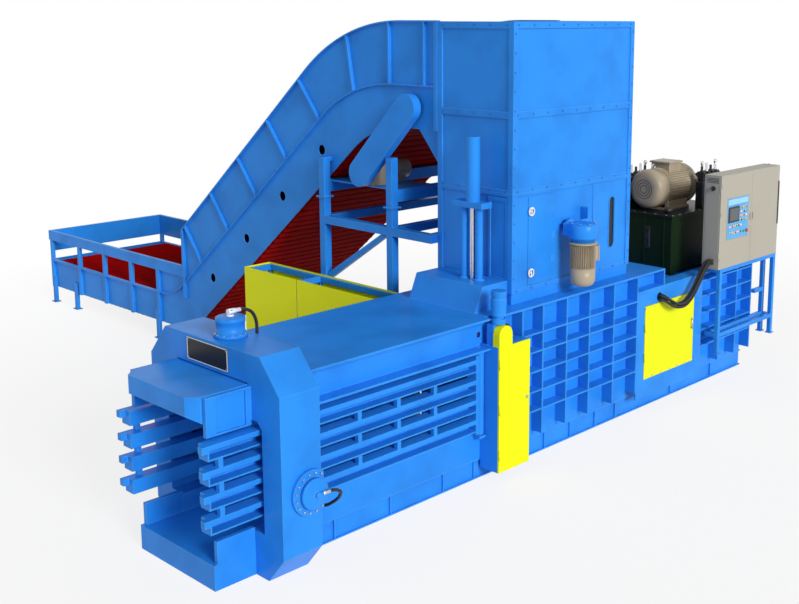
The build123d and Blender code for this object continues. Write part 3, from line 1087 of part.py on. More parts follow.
with BuildPart() as conveyor_frame:
    top_bend = lowered(TOP_LINE, 0)[0]
    low_bend, low_foot = lowered(LOW_LINE, 0)
    for x, out in ((-CONVEYOR_HALF, -1), (CONVEYOR_HALF - SIDE_T, 1)):
        with BuildSketch(cross_plane(x)):
            with BuildLine():
                FilletPolyline(
                    (JOIN_Y, HEAD_LOW_Z), (JOIN_Y, HEAD_TOP_Z), top_bend, GUARD_FOOT,
                    (GUARD_FOOT[0], TABLE_RAIL_Z), (FRAME_END_Y, TABLE_RAIL_Z), (FRAME_END_Y, TABLE_LOW_Z),
                    low_foot, low_bend,
                    radius=[0, 0, TOP_BEND_R, 0, 0, 0, 0, LOW_FOOT_R, LOW_BEND_R],
                    close=True,
                )
            make_face()
            with Locations(*[(y, below_belt(y)) for y in HOLE_YS]):
                Circle(HOLE_R, mode=Mode.SUBTRACT)
            with Locations(HEAD_SHAFT):
                Circle(SHAFT_HOLE_R, mode=Mode.SUBTRACT)
        extrude(amount=SIDE_T)
        face_x = -CONVEYOR_HALF - RIB_OUT if out < 0 else CONVEYOR_HALF
        with BuildSketch(cross_plane(face_x)):
            with BuildLine():
                side_band(TOP_LINE, 0, RAIL_W, (TOP_BEND_R, 0), None)
            make_face()
            with BuildLine():
                side_band(BELT_LINE, 0, RAIL_W, (BELT_BEND_R, BELT_FOOT_R), FRAME_END_Y)
            make_face()
            for y in INCLINE_RIB_YS:
                with BuildLine():
                    Polyline(*incline_rib(BELT_LINE, y, RIB_REACH, RIB_W), close=True)
                make_face()
            with BuildLine():
                Polyline(*BEND_RIB, close=True)
            make_face()
            for y in HEAD_RIB_YS:
                with Locations((y, (HEAD_BELT_Z + HEAD_TOP_Z - RAIL_W) / 2)):
                    Rectangle(RIB_W, HEAD_TOP_Z - HEAD_BELT_Z - RAIL_W)
            with Locations((JOIN_Y + 30, (HEAD_LOW_Z + HEAD_TOP_Z) / 2)):
                Rectangle(60, HEAD_TOP_Z - HEAD_LOW_Z)
            with Locations((GUARD_FOOT[0] - 25, (GUARD_FOOT[1] + TABLE_BELT_Z) / 2)):
                Rectangle(50, GUARD_FOOT[1] - TABLE_BELT_Z)
        extrude(amount=RIB_OUT)
    for y in TIE_YS:
        drum((-CONVEYOR_HALF, y, below_belt(y)), (1, 0, 0), TIE_R, 2 * CONVEYOR_HALF)
    for side in (-1, 1):
        chute = [(JOIN_Y, HEAD_LOW_Z), (980, HEAD_LOW_Z), (JOIN_Y, CHUTE_LOW_Z)]
        start_x = -CONVEYOR_HALF if side < 0 else CONVEYOR_HALF - SIDE_T
        prism(cross_plane(start_x), chute, SIDE_T)
    chute_plate = [(960, HEAD_LOW_Z - 24), (945, HEAD_LOW_Z - 16), (JOIN_Y, CHUTE_LOW_Z + 20),
                   (JOIN_Y, CHUTE_LOW_Z)]
    prism(cross_plane(-CONVEYOR_HALF), chute_plate, 2 * CONVEYOR_HALF)
conveyor_frame.part.label = "conveyor_frame"
export_step(conveyor_frame.part, "parts/conveyor_frame.step")

# Slat belt, a closed loop with a raised slat at every pitch
BELT_HALF = CONVEYOR_HALF - SIDE_T - 10
CARRY_DROP = 40
RETURN_LIFT = 22
HEAD_TURN_R = (HEAD_BELT_Z - CARRY_DROP - HEAD_LOW_Z - RETURN_LIFT) / 2
TAIL_TURN_R = (TABLE_BELT_Z - CARRY_DROP - TABLE_LOW_Z - RETURN_LIFT) / 2

with BuildLine() as track:
    carry_bend, carry_foot = lowered(BELT_LINE, CARRY_DROP)
    return_bend, return_foot = lowered(LOW_LINE, -RETURN_LIFT)
    FilletPolyline(
        (HEAD_SHAFT[0] - HEAD_TURN_R, carry_bend[1]), carry_bend, carry_foot,
        (TAIL_SHAFT[0] + TAIL_TURN_R, carry_foot[1]), (TAIL_SHAFT[0] + TAIL_TURN_R, return_foot[1]),
        return_foot, return_bend, (HEAD_SHAFT[0] - HEAD_TURN_R, return_bend[1]),
        radius=[HEAD_TURN_R - 1, BELT_BEND_R, BELT_FOOT_R, TAIL_TURN_R - 1, TAIL_TURN_R - 1,
                LOW_FOOT_R, LOW_BEND_R, HEAD_TURN_R - 1],
        close=True,
    )
loop = track.wire()
SLAT_COUNT = round(loop.length / SLAT_PITCH)


def beside_track(u, height):
    """A point beside the belt's middle line, outwards from the loop."""
    point = loop @ (u % 1.0)
    along = loop % (u % 1.0)
    return (point.X - along.Y * height, point.Y + along.X * height)


with BuildPart() as slat_belt:
    outer = []
    for i in range(SLAT_COUNT):
        outer.append(beside_track(i / SLAT_COUNT, BELT_T / 2))
        outer.append(beside_track((i + 0.2) / SLAT_COUNT, BELT_T / 2 + SLAT_H))
    inner = [beside_track((i + 0.5) / SLAT_COUNT, -BELT_T / 2) for i in range(SLAT_COUNT)]
    with BuildSketch(cross_plane(-BELT_HALF)):
        with BuildLine():
            Polyline(*outer, close=True)
        make_face()
        with BuildLine():
            Polyline(*inner, close=True)
        make_face(mode=Mode.SUBTRACT)
    extrude(amount=2 * BELT_HALF)
slat_belt.part.label = "slat_belt"
export_step(slat_belt.part, "parts/slat_belt.step")

# Shafts, drive guard and drive motor of the conveyor
GUARD_CAPSULE_R = 180
GUARD_CAPSULE_X = (-1345, -1225)
GUARD_SKIN = 5
HEAD_SHAFT_R = 44
TAIL_SHAFT_R = 40
DISC_XS = (-900, 0, 900)
DISC_T = 30
DISC_DROP = 28

with BuildPart() as head_shaft:
    drum((GUARD_CAPSULE_X[0] + 20, *HEAD_SHAFT), (1, 0, 0), HEAD_SHAFT_R,
         CONVEYOR_HALF - GUARD_CAPSULE_X[0])
    for x in DISC_XS:
        drum((x - DISC_T / 2, *HEAD_SHAFT), (1, 0, 0), HEAD_TURN_R - DISC_DROP, DISC_T)
    drum((GUARD_CAPSULE_X[0] + 40, *HEAD_SHAFT), (1, 0, 0), 140, 20)
head_shaft.part.label = "head_shaft"
export_step(head_shaft.part, "parts/head_shaft.step")

with BuildPart() as tail_shaft:
    drum((-BELT_HALF, *TAIL_SHAFT), (1, 0, 0), TAIL_SHAFT_R, 2 * BELT_HALF)
    for x in DISC_XS:
        drum((x - DISC_T / 2, *TAIL_SHAFT), (1, 0, 0), TAIL_TURN_R - DISC_DROP, DISC_T)
tail_shaft.part.label = "tail_shaft"
export_step(tail_shaft.part, "parts/tail_shaft.step")

CAPSULE_RUN = Vector(*DRIVE_SHAFT) - Vector(*HEAD_SHAFT)


def capsule(x, length, radius, mode=Mode.ADD):
    """A round-ended bar between the head shaft and the drive shaft."""
    with BuildSketch(cross_plane(x)) as outline:
        SlotCenterToCenter(CAPSULE_RUN.length, 2 * radius,
                           rotation=degrees(atan(CAPSULE_RUN.Y / CAPSULE_RUN.X)))
    middle = Vector(*HEAD_SHAFT) + CAPSULE_RUN * 0.5
    extrude(outline.sketch.moved(Location((0, middle.X, middle.Y))), amount=length, mode=mode)


with BuildPart() as drive_guard:
    capsule(GUARD_CAPSULE_X[0], GUARD_CAPSULE_X[1] - GUARD_CAPSULE_X[0], GUARD_CAPSULE_R)
    capsule(GUARD_CAPSULE_X[0] + GUARD_SKIN, 200, GUARD_CAPSULE_R - GUARD_SKIN, Mode.SUBTRACT)
    block(GUARD_CAPSULE_X[1], -CONVEYOR_HALF, 1260, 1330, 4180, 4210)
    block(GUARD_CAPSULE_X[1] - 30, GUARD_CAPSULE_X[1], 1255, 1335, 4130, 4230)
drive_guard.part.label = "drive_guard"
export_step(drive_guard.part, "parts/drive_guard.step")

PLATFORM_Z = 3180
GEAR_BOX_X = (-1190, -900)

with BuildPart() as drive_motor:
    y, z = DRIVE_SHAFT
    drum((GUARD_CAPSULE_X[0] + 20, y, z), (1, 0, 0), 30, 160)
    drum((GUARD_CAPSULE_X[0] + 40, y, z), (1, 0, 0), 70, 20)
    block(*GEAR_BOX_X, y - 150, y + 150, PLATFORM_Z, z + 150)
    drum((GEAR_BOX_X[1], y, z), (1, 0, 0), 130, 420)
    block(-800, -560, y - 100, y + 100, PLATFORM_Z, z - 60)
drive_motor.part.label = "drive_motor"
export_step(drive_motor.part, "parts/drive_motor.step")

# Support frame under the conveyor's head
POST_X_OUT = (-1325, -1215)
BEAM_ZS = (2580, 3020)
FAR_POST_X = (1215, 1325)
POST_TOPS = (3500, 3600)
FOOT_OUT = 60
COLLAR_Z = (2940, 2965)

with BuildPart() as support_frame:
    for x0, x1 in (POST_X_OUT, FAR_POST_X):
        foot = (x0 - FOOT_OUT, x1 + 3) if x0 > 0 else (x0 - 3, x1 + FOOT_OUT)
        for y, top in zip(POST_YS, POST_TOPS):
            block(x0, x1, y, y + POST_SIZE, 0, top)
            block(*foot, y - 30, y + POST_SIZE + 30, 0, 20)
            block(x0 - 30, x1 + 30, y - 30, y + POST_SIZE + 30, *COLLAR_Z)
        block(x0, x1, POST_YS[1] + POST_SIZE, POST_YS[0], BEAM_ZS[0], BEAM_ZS[0] + POST_SIZE)
        block(x0, x1, JOIN_Y, POST_YS[1], BEAM_ZS[0], BEAM_ZS[0] + POST_SIZE)
        brace = [(POST_YS[1] + POST_SIZE, BEAM_ZS[0]), (POST_YS[1] + POST_SIZE + 120, BEAM_ZS[0]),
                 (POST_YS[0], 1870), (POST_YS[0], 1770)]
        prism(cross_plane(x0 + 20), brace, 70)
        attach = CONVEYOR_HALF if x0 > 0 else -CONVEYOR_HALF
        block(attach, (x0 + x1) / 2, POST_YS[0], POST_YS[0] + POST_SIZE, POST_TOPS[0] - 60, POST_TOPS[0])
    for y in (JOIN_Y, *POST_YS):
        block(POST_X_OUT[1], FAR_POST_X[0], y, y + POST_SIZE, BEAM_ZS[0], BEAM_ZS[0] + POST_SIZE)
    for y in POST_YS:
        block(POST_X_OUT[1], FAR_POST_X[0], y, y + POST_SIZE, BEAM_ZS[1], PLATFORM_Z)
    block(-1200, -500, POST_YS[1] + POST_SIZE, POST_YS[0], PLATFORM_Z - 20, PLATFORM_Z)
support_frame.part.label = "support_frame"
export_step(support_frame.part, "parts/support_frame.step")

# Loading table at the low end of the conveyor
TABLE_POST_YS = [8050, 8950, 9850]
TABLE_LEG_YS = [7230, 10030, 10850]
TABLE_HALF = CONVEYOR_HALF + RIB_OUT
TABLE_SKIN = 10
TABLE_RAIL_H = 180
TABLE_POST = 80
TABLE_FOOT_T = 15

with BuildPart() as loading_table:
    for side in (-1, 1):
        inner = side * CONVEYOR_HALF
        outer = side * TABLE_HALF
        rail_drop = TABLE_RAIL_H if side < 0 else 400
        block(inner, outer, GUARD_FOOT[0], TABLE_END_Y, TABLE_RAIL_Z - TABLE_RAIL_H, TABLE_RAIL_Z)
        block(inner - side * TABLE_SKIN, inner, FRAME_END_Y, TABLE_END_Y,
              TABLE_RAIL_Z - rail_drop, TABLE_RAIL_Z)
        block(inner - side * TABLE_SKIN, inner, FRAME_END_Y, TABLE_END_Y, TABLE_LOW_Z, TABLE_BELT_Z)
        block(inner, outer, FRAME_END_Y, TABLE_END_Y, TABLE_BELT_Z - 30, TABLE_BELT_Z)
        for y in TABLE_POST_YS + [FRAME_END_Y, TABLE_END_Y - TABLE_POST]:
            block(inner - side * TABLE_SKIN, outer, y, y + TABLE_POST, TABLE_LOW_Z, TABLE_RAIL_Z)
        for y in TABLE_LEG_YS:
            block(inner - side * TABLE_SKIN, outer, y, y + 90, TABLE_FOOT_T, TABLE_LOW_Z + 200)
            block(inner - side * 40, outer + side * 30, y - 30, y + 120, 0, TABLE_FOOT_T)
    block(-TABLE_HALF, TABLE_HALF, TABLE_END_Y - TABLE_SKIN, TABLE_END_Y + 40,
          TABLE_RAIL_Z - TABLE_RAIL_H, TABLE_RAIL_Z)
    block(-TABLE_HALF, TABLE_HALF, TABLE_END_Y - TABLE_SKIN, TABLE_END_Y, TABLE_RAIL_Z - 400, TABLE_RAIL_Z)
    block(-TABLE_HALF, TABLE_HALF, TABLE_END_Y - TABLE_SKIN, TABLE_END_Y, TABLE_LOW_Z + 100, TABLE_BELT_Z)
loading_table.part.label = "loading_table"
export_step(loading_table.part, "parts/loading_table.step")

# Hoses and conduits, held at both ends
HOSE_R = 17
TWISTER_HOSE_R = 14
CONDUIT_R = 19
CONDUIT_PITCH = 44


def pipe(points, radius):
    """A tube along straight runs that are joined by arcs as large as the runs allow."""
    knots = [Vector(*p) for p in points]
    arcs = []
    for before, here, after in zip(knots, knots[1:], knots[2:]):
        turn = (here - before).get_angle(after - here)
        shorter = min((here - before).length, (after - here).length)
        arcs.append(0.45 * shorter / tan(radians(turn / 2)))
    print("bend radii", [round(r) for r in arcs])
    with BuildLine() as route:
        FilletPolyline(*knots, radius=arcs)
    start = route.wire() @ 0
    direction = route.wire() % 0
    with BuildSketch(Plane(origin=start, z_dir=direction)) as section:
        Circle(radius)
    sweep(section.sketch, path=route.wire())


NOZZLE_Y = PORTAL_HALF + FLANGE_H + CAP_H + 30
SIDE_HOSE_DROP = 370
TOP_HOSE_Z = PORTAL_TOP + 250
TOP_HOSE_X = TOP_CYLINDER_X + 320
TWISTER_HOSES = [(1850, -1375, 1740), (1770, -1430, 1700)]
HOUSING_X = TOWER_X - 15
TWISTER_HOSE_Y = -800

with BuildPart() as hydraulic_hoses:
    for side in (-1, 1):
        x, z = SIDE_CYLINDER
        pipe([(x + 60, side * NOZZLE_Y, z), (x + 200, side * NOZZLE_Y, z),
              (x + 320, side * (NOZZLE_Y - 30), z - 70), (x + 380, side * (NOZZLE_Y - 150), z - 200),
              (x + 390, side * (NOZZLE_Y - 330), z - 330),
              (x + 390, side * (WALL_Y + 120), z - SIDE_HOSE_DROP),
              (x + 390, side * WALL_Y, z - SIDE_HOSE_DROP)], HOSE_R)
    pipe([(TOP_CYLINDER_X + 70, 0, TOP_HOSE_Z), (TOP_CYLINDER_X + 170, 0, TOP_HOSE_Z),
          (TOP_CYLINDER_X + 270, 0, TOP_HOSE_Z - 50), (TOP_HOSE_X, 0, TOP_HOSE_Z - 160),
          (TOP_HOSE_X, 0, ROOF_Z)], HOSE_R)
    for z, end_x, end_z in TWISTER_HOSES:
        y = TWISTER_HOSE_Y
        pipe([(HOUSING_X, y, z), (HOUSING_X + 60, y, z), (HOUSING_X + 120, y, z - 20),
              (end_x, y + 50, end_z + 10), (end_x, -WALL_Y - 40, end_z), (end_x, -WALL_Y, end_z)],
             TWISTER_HOSE_R)
hydraulic_hoses.part.label = "hydraulic_hoses"
export_step(hydraulic_hoses.part, "parts/hydraulic_hoses.step")

CONDUIT_ROUTE = [
    (CONDUIT_HOLE[0], -RIB_Y + PLATE, CONDUIT_HOLE[1]), (CONDUIT_HOLE[0], -880, CONDUIT_HOLE[1]),
    (1740, -955, 1540), (1880, -975, 1460),
    (2080, -975, 1450), (2280, -965, 1550), (2440, -955, 1700), (2580, -945, 1840),
    (2700, -935, 1930), (CABINET_X[0], -935, 1930),
]


def beside_route(points, across, up):
    """The same route, shifted squarely to its local direction."""
    knots = [Vector(*p) for p in points]
    shifted = []
    for i, knot in enumerate(knots):
        after = knots[min(i + 1, len(knots) - 1)]
        before = knots[max(i - 1, 0)]
        if i in (0, 1):
            before = knots[0]
            after = knots[1]
        if i >= len(knots) - 2:
            before = knots[-2]
            after = knots[-1]
        along = (after - before).normalized()
        level = Vector(0, 0, 1).cross(along).normalized()
        shifted.append(tuple(knot + level * across + along.cross(level) * up))
    return shifted


with BuildPart() as cable_bundle:
    for across in (-CONDUIT_PITCH / 2, CONDUIT_PITCH / 2):
        for up in (-CONDUIT_PITCH / 2, CONDUIT_PITCH / 2):
            pipe(beside_route(CONDUIT_ROUTE, across, up), CONDUIT_R)
cable_bundle.part.label = "cable_bundle"
export_step(cable_bundle.part, "parts/cable_bundle.step")
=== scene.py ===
import math

import bmesh
import bpy
from mathutils import Matrix, Vector


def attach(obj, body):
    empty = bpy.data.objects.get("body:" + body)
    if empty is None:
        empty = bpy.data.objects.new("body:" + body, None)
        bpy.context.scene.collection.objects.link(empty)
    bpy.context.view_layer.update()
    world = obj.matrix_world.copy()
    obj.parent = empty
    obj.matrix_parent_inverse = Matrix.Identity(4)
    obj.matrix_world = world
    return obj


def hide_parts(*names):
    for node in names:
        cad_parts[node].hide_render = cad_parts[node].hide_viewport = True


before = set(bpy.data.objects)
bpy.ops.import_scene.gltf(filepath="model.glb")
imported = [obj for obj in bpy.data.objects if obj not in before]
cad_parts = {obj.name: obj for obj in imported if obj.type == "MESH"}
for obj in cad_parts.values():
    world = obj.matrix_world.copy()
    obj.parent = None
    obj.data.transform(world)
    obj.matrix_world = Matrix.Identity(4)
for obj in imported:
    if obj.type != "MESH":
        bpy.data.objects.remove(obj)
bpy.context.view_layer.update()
scene = bpy.context.scene


# Helpers for shader nodes
def new_node(tree, kind, **settings):
    node = tree.nodes.new(kind)
    for key, value in settings.items():
        setattr(node, key, value)
    return node


def link(tree, source, target):
    tree.links.new(source, target)


def plain_sight(tree):
    """1 for rays from the camera, off a gloss or through glass, which see the plain backdrop, else 0."""
    path = new_node(tree, "ShaderNodeLightPath")
    shown = path.outputs["Is Camera Ray"]
    for ray in ("Is Glossy Ray", "Is Transmission Ray"):
        either = new_node(tree, "ShaderNodeMath", operation="MAXIMUM")
        link(tree, shown, either.inputs[0])
        link(tree, path.outputs[ray], either.inputs[1])
        shown = either.outputs[0]
    return shown


def wear_and_highlight_group():
    """Tone drift, paler edges mixed in from the bevel as a painted highlight, and fine bump, shared by every
    painted or plastic surface.
    """
    group = bpy.data.node_groups.new("surface_wear_and_edge_highlight", "ShaderNodeTree")
    face = group.interface
    for name, kind, value in (
        ("Colour", "NodeSocketColor", (0.5, 0.5, 0.5, 1)),
        ("Edge colour", "NodeSocketColor", (0.8, 0.8, 0.8, 1)),
        ("Grime colour", "NodeSocketColor", (0.05, 0.05, 0.05, 1)),
        ("Edge width", "NodeSocketFloat", 0.008),
        ("Edge amount", "NodeSocketFloat", 0.4),
        ("Grime amount", "NodeSocketFloat", 0.15),
        ("Tone scale", "NodeSocketFloat", 0.9),
        ("Grain scale", "NodeSocketFloat", 160.0),
        ("Grain depth", "NodeSocketFloat", 0.0004),
        ("Roughness low", "NodeSocketFloat", 0.3),
        ("Roughness high", "NodeSocketFloat", 0.45),
    ):
        socket = face.new_socket(name, in_out="INPUT", socket_type=kind)
        socket.default_value = value
    face.new_socket("Colour", in_out="OUTPUT", socket_type="NodeSocketColor")
    face.new_socket("Roughness", in_out="OUTPUT", socket_type="NodeSocketFloat")
    face.new_socket("Normal", in_out="OUTPUT", socket_type="NodeSocketVector")
    start = new_node(group, "NodeGroupInput")
    end = new_node(group, "NodeGroupOutput")
    place = new_node(group, "ShaderNodeTexCoord")
    tone = new_node(group, "ShaderNodeTexNoise")
    tone.inputs["Detail"].default_value = 6
    link(group, place.outputs["Object"], tone.inputs["Vector"])
    link(group, start.outputs["Tone scale"], tone.inputs["Scale"])
    grime = new_node(group, "ShaderNodeMapRange")
    grime.inputs["From Min"].default_value = 0.45
    grime.inputs["From Max"].default_value = 0.75
    link(group, tone.outputs["Fac"], grime.inputs["Value"])
    grime_part = new_node(group, "ShaderNodeMath", operation="MULTIPLY")
    link(group, grime.outputs["Result"], grime_part.inputs[0])
    link(group, start.outputs["Grime amount"], grime_part.inputs[1])
    dirty = new_node(group, "ShaderNodeMix", data_type="RGBA")
    link(group, grime_part.outputs[0], dirty.inputs["Factor"])
    link(group, start.outputs["Colour"], dirty.inputs["A"])
    link(group, start.outputs["Grime colour"], dirty.inputs["B"])
    soft = new_node(group, "ShaderNodeBevel", samples=4)
    link(group, start.outputs["Edge width"], soft.inputs["Radius"])
    facing = new_node(group, "ShaderNodeNewGeometry")
    dot = new_node(group, "ShaderNodeVectorMath", operation="DOT_PRODUCT")
    link(group, soft.outputs["Normal"], dot.inputs[0])
    link(group, facing.outputs["Normal"], dot.inputs[1])
    # Paler edge colour mixed in where the bevel normal turns from the face: a painted highlight along every
    # edge.
    edge = new_node(group, "ShaderNodeMapRange")
    edge.inputs["From Min"].default_value = 0.995
    edge.inputs["From Max"].default_value = 0.85
    link(group, dot.outputs["Value"], edge.inputs["Value"])
    edge_part = new_node(group, "ShaderNodeMath", operation="MULTIPLY")
    link(group, edge.outputs["Result"], edge_part.inputs[0])
    link(group, start.outputs["Edge amount"], edge_part.inputs[1])
    highlighted_edges = new_node(group, "ShaderNodeMix", data_type="RGBA")
    link(group, edge_part.outputs[0], highlighted_edges.inputs["Factor"])
    link(group, dirty.outputs["Result"], highlighted_edges.inputs["A"])
    link(group, start.outputs["Edge colour"], highlighted_edges.inputs["B"])
    link(group, highlighted_edges.outputs["Result"], end.inputs["Colour"])
    rough = new_node(group, "ShaderNodeMapRange")
    link(group, tone.outputs["Fac"], rough.inputs["Value"])
    link(group, start.outputs["Roughness low"], rough.inputs["To Min"])
    link(group, start.outputs["Roughness high"], rough.inputs["To Max"])
    link(group, rough.outputs["Result"], end.inputs["Roughness"])
    grain = new_node(group, "ShaderNodeTexNoise")
    grain.inputs["Detail"].default_value = 3
    link(group, place.outputs["Object"], grain.inputs["Vector"])
    link(group, start.outputs["Grain scale"], grain.inputs["Scale"])
    bump = new_node(group, "ShaderNodeBump")
    bump.inputs["Strength"].default_value = 0.6
    link(group, start.outputs["Grain depth"], bump.inputs["Distance"])
    link(group, grain.outputs["Fac"], bump.inputs["Height"])
    link(group, soft.outputs["Normal"], bump.inputs["Normal"])
    link(group, bump.outputs["Normal"], end.inputs["Normal"])
    return group


WEAR_AND_HIGHLIGHT = wear_and_highlight_group()


def finish_of(name, colour, edge, grime, metallic=0.0, coat=0.0, specular=0.5, **values):
    """A material on the shared group of wear and painted edge highlight, with its own values."""
    material = bpy.data.materials.new(name)
    material.use_nodes = True
    tree = material.node_tree
    shader = tree.nodes["Principled BSDF"]
    wear_and_highlight = new_node(tree, "ShaderNodeGroup", node_tree=WEAR_AND_HIGHLIGHT)
    wear_and_highlight.inputs["Colour"].default_value = (*colour, 1)
    wear_and_highlight.inputs["Edge colour"].default_value = (*edge, 1)
    wear_and_highlight.inputs["Grime colour"].default_value = (*grime, 1)
    for key, value in values.items():
        wear_and_highlight.inputs[key.replace("_", " ")].default_value = value
    link(tree, wear_and_highlight.outputs["Colour"], shader.inputs["Base Color"])
    link(tree, wear_and_highlight.outputs["Roughness"], shader.inputs["Roughness"])
    link(tree, wear_and_highlight.outputs["Normal"], shader.inputs["Normal"])
    shader.inputs["Metallic"].default_value = metallic
    shader.inputs["Coat Weight"].default_value = coat
    shader.inputs["Coat Roughness"].default_value = 0.15
    shader.inputs["Specular IOR Level"].default_value = specular
    return material


# The second colour of each finish is the paler painted highlight along its edges.
blue_enamel = finish_of("blue_enamel", (0.022, 0.255, 0.800), (0.10, 0.46, 0.95), (0.010, 0.14, 0.50),
                        coat=0.04, specular=0.14, Edge_amount=0.65, Edge_width=0.012, Grime_amount=0.55,
                        Tone_scale=1.6)
yellow_enamel = finish_of("yellow_enamel", (0.78, 0.83, 0.0005), (0.92, 0.95, 0.10), (0.62, 0.62, 0.0),
                          coat=0.04, specular=0.12, Edge_amount=0.4, Grime_amount=0.3)
# Two shades of the belt's red: the darker slat red shows as thin lines between the strips, painted shade at
# the slat joints; the lighter strip red covers the slat faces.
red_slats = finish_of("red_slats", (0.26, 0.001, 0.001), (0.38, 0.004, 0.004), (0.16, 0.0005, 0.0005),
                      specular=0.02, Edge_amount=0.5, Edge_width=0.01, Grime_amount=0.6, Tone_scale=3.0,
                      Roughness_low=0.4, Roughness_high=0.6)
red_strip = finish_of("red_strip", (0.44, 0.001, 0.002), (0.55, 0.008, 0.008), (0.32, 0.0005, 0.001),
                      specular=0.02, Edge_amount=0.5, Grime_amount=0.6, Tone_scale=4.0, Roughness_low=0.35,
                      Roughness_high=0.5)
green_enamel = finish_of("green_enamel", (0.006, 0.020, 0.005), (0.03, 0.07, 0.03), (0.003, 0.008, 0.003),
                         coat=0.05, specular=0.15, Grime_amount=0.4)
tank_lid_enamel = finish_of("tank_lid_enamel", (0.006, 0.009, 0.014), (0.04, 0.05, 0.07),
                            (0.003, 0.004, 0.006), coat=0.05, specular=0.2)
beige_enamel = finish_of("beige_enamel", (0.40, 0.33, 0.235), (0.62, 0.55, 0.43), (0.20, 0.16, 0.11),
                         specular=0.3, Grime_amount=0.35, Tone_scale=2.5, Grain_depth=0.0008,
                         Grain_scale=90.0)
cabinet_powder = finish_of("cabinet_powder", (0.40, 0.375, 0.310), (0.60, 0.58, 0.50), (0.29, 0.27, 0.22),
                           specular=0.25, Grime_amount=0.3, Grain_depth=0.0006, Grain_scale=320.0,
                           Roughness_low=0.4, Roughness_high=0.5)
dark_iron = finish_of("dark_iron", (0.035, 0.036, 0.040), (0.22, 0.22, 0.23), (0.012, 0.012, 0.012),
                      metallic=0.6, Grime_amount=0.5, Tone_scale=6.0, Grain_depth=0.001, Grain_scale=60.0,
                      Roughness_low=0.35, Roughness_high=0.6)
bright_steel = finish_of("bright_steel", (0.62, 0.63, 0.65), (0.85, 0.85, 0.86), (0.30, 0.30, 0.31),
                         metallic=1.0, Grime_amount=0.3, Tone_scale=7.0, Roughness_low=0.18,
                         Roughness_high=0.36)
zinc_bolt = finish_of("zinc_bolt", (0.45, 0.46, 0.48), (0.7, 0.7, 0.7), (0.15, 0.15, 0.15), metallic=0.9,
                      Grime_amount=0.5, Tone_scale=20.0)
blue_bolt = finish_of("blue_bolt", (0.022, 0.15, 0.55), (0.08, 0.34, 0.9), (0.008, 0.07, 0.3),
                      specular=0.2, Grime_amount=0.4, Tone_scale=15.0)
plate_black = finish_of("plate_black", (0.004, 0.004, 0.007), (0.05, 0.05, 0.06), (0.002, 0.002, 0.003),
                        coat=0.08, specular=0.2)
pale_trim = finish_of("pale_trim", (0.78, 0.78, 0.76), (0.9, 0.9, 0.9), (0.5, 0.5, 0.48), Grime_amount=0.25)
screen_black = finish_of("screen_black", (0.004, 0.008, 0.016), (0.02, 0.02, 0.02), (0.003, 0.006, 0.01),
                         coat=1.0, Roughness_low=0.04, Roughness_high=0.08, Grain_depth=0.0)
panel_blue = finish_of("panel_blue", (0.10, 0.38, 0.72), (0.4, 0.7, 0.9), (0.06, 0.26, 0.6), specular=0.3,
                       Grime_amount=0.6, Tone_scale=5.0)
panel_pale = finish_of("panel_pale", (0.30, 0.62, 0.82), (0.5, 0.75, 0.9), (0.2, 0.5, 0.75), specular=0.3,
                       Grime_amount=0.4, Tone_scale=5.0)
red_plastic = finish_of("red_plastic", (0.65, 0.008, 0.006), (0.8, 0.1, 0.08), (0.3, 0.004, 0.004), coat=0.5,
                        Roughness_low=0.2, Roughness_high=0.3)
green_plastic = finish_of("green_plastic", (0.01, 0.42, 0.08), (0.1, 0.6, 0.2), (0.005, 0.2, 0.04), coat=0.5,
                          Roughness_low=0.2, Roughness_high=0.3)
amber_plastic = finish_of("amber_plastic", (0.85, 0.45, 0.01), (0.95, 0.6, 0.1), (0.5, 0.25, 0.0), coat=0.5)
black_plastic = finish_of("black_plastic", (0.012, 0.012, 0.013), (0.06, 0.06, 0.06), (0.004, 0.004, 0.004),
                          Grain_depth=0.0006, Grain_scale=400.0, Roughness_low=0.4, Roughness_high=0.55)
white_plastic = finish_of("white_plastic", (0.80, 0.80, 0.79), (0.9, 0.9, 0.9), (0.6, 0.6, 0.58), coat=0.3)
black_hose = finish_of("black_hose", (0.010, 0.010, 0.011), (0.05, 0.05, 0.05), (0.003, 0.003, 0.003),
                       Grain_depth=0.002, Grain_scale=140.0, Roughness_low=0.45, Roughness_high=0.65)
dark_vent = finish_of("dark_vent", (0.05, 0.048, 0.045), (0.2, 0.19, 0.18), (0.02, 0.02, 0.02), metallic=0.3)


def ribbed(name):
    """Corrugated black conduit: fine rings across the run, from a wave on object coordinates."""
    material = black_hose.copy()
    material.name = name
    tree = material.node_tree
    shader = tree.nodes["Principled BSDF"]
    place = new_node(tree, "ShaderNodeTexCoord")
    wave = new_node(tree, "ShaderNodeTexWave", bands_direction="X")
    wave.inputs["Scale"].default_value = 22.0
    bump = new_node(tree, "ShaderNodeBump")
    bump.inputs["Distance"].default_value = 0.006
    link(tree, place.outputs["Object"], wave.inputs["Vector"])
    link(tree, wave.outputs["Fac"], bump.inputs["Height"])
    link(tree, bump.outputs["Normal"], shader.inputs["Normal"])
    return material


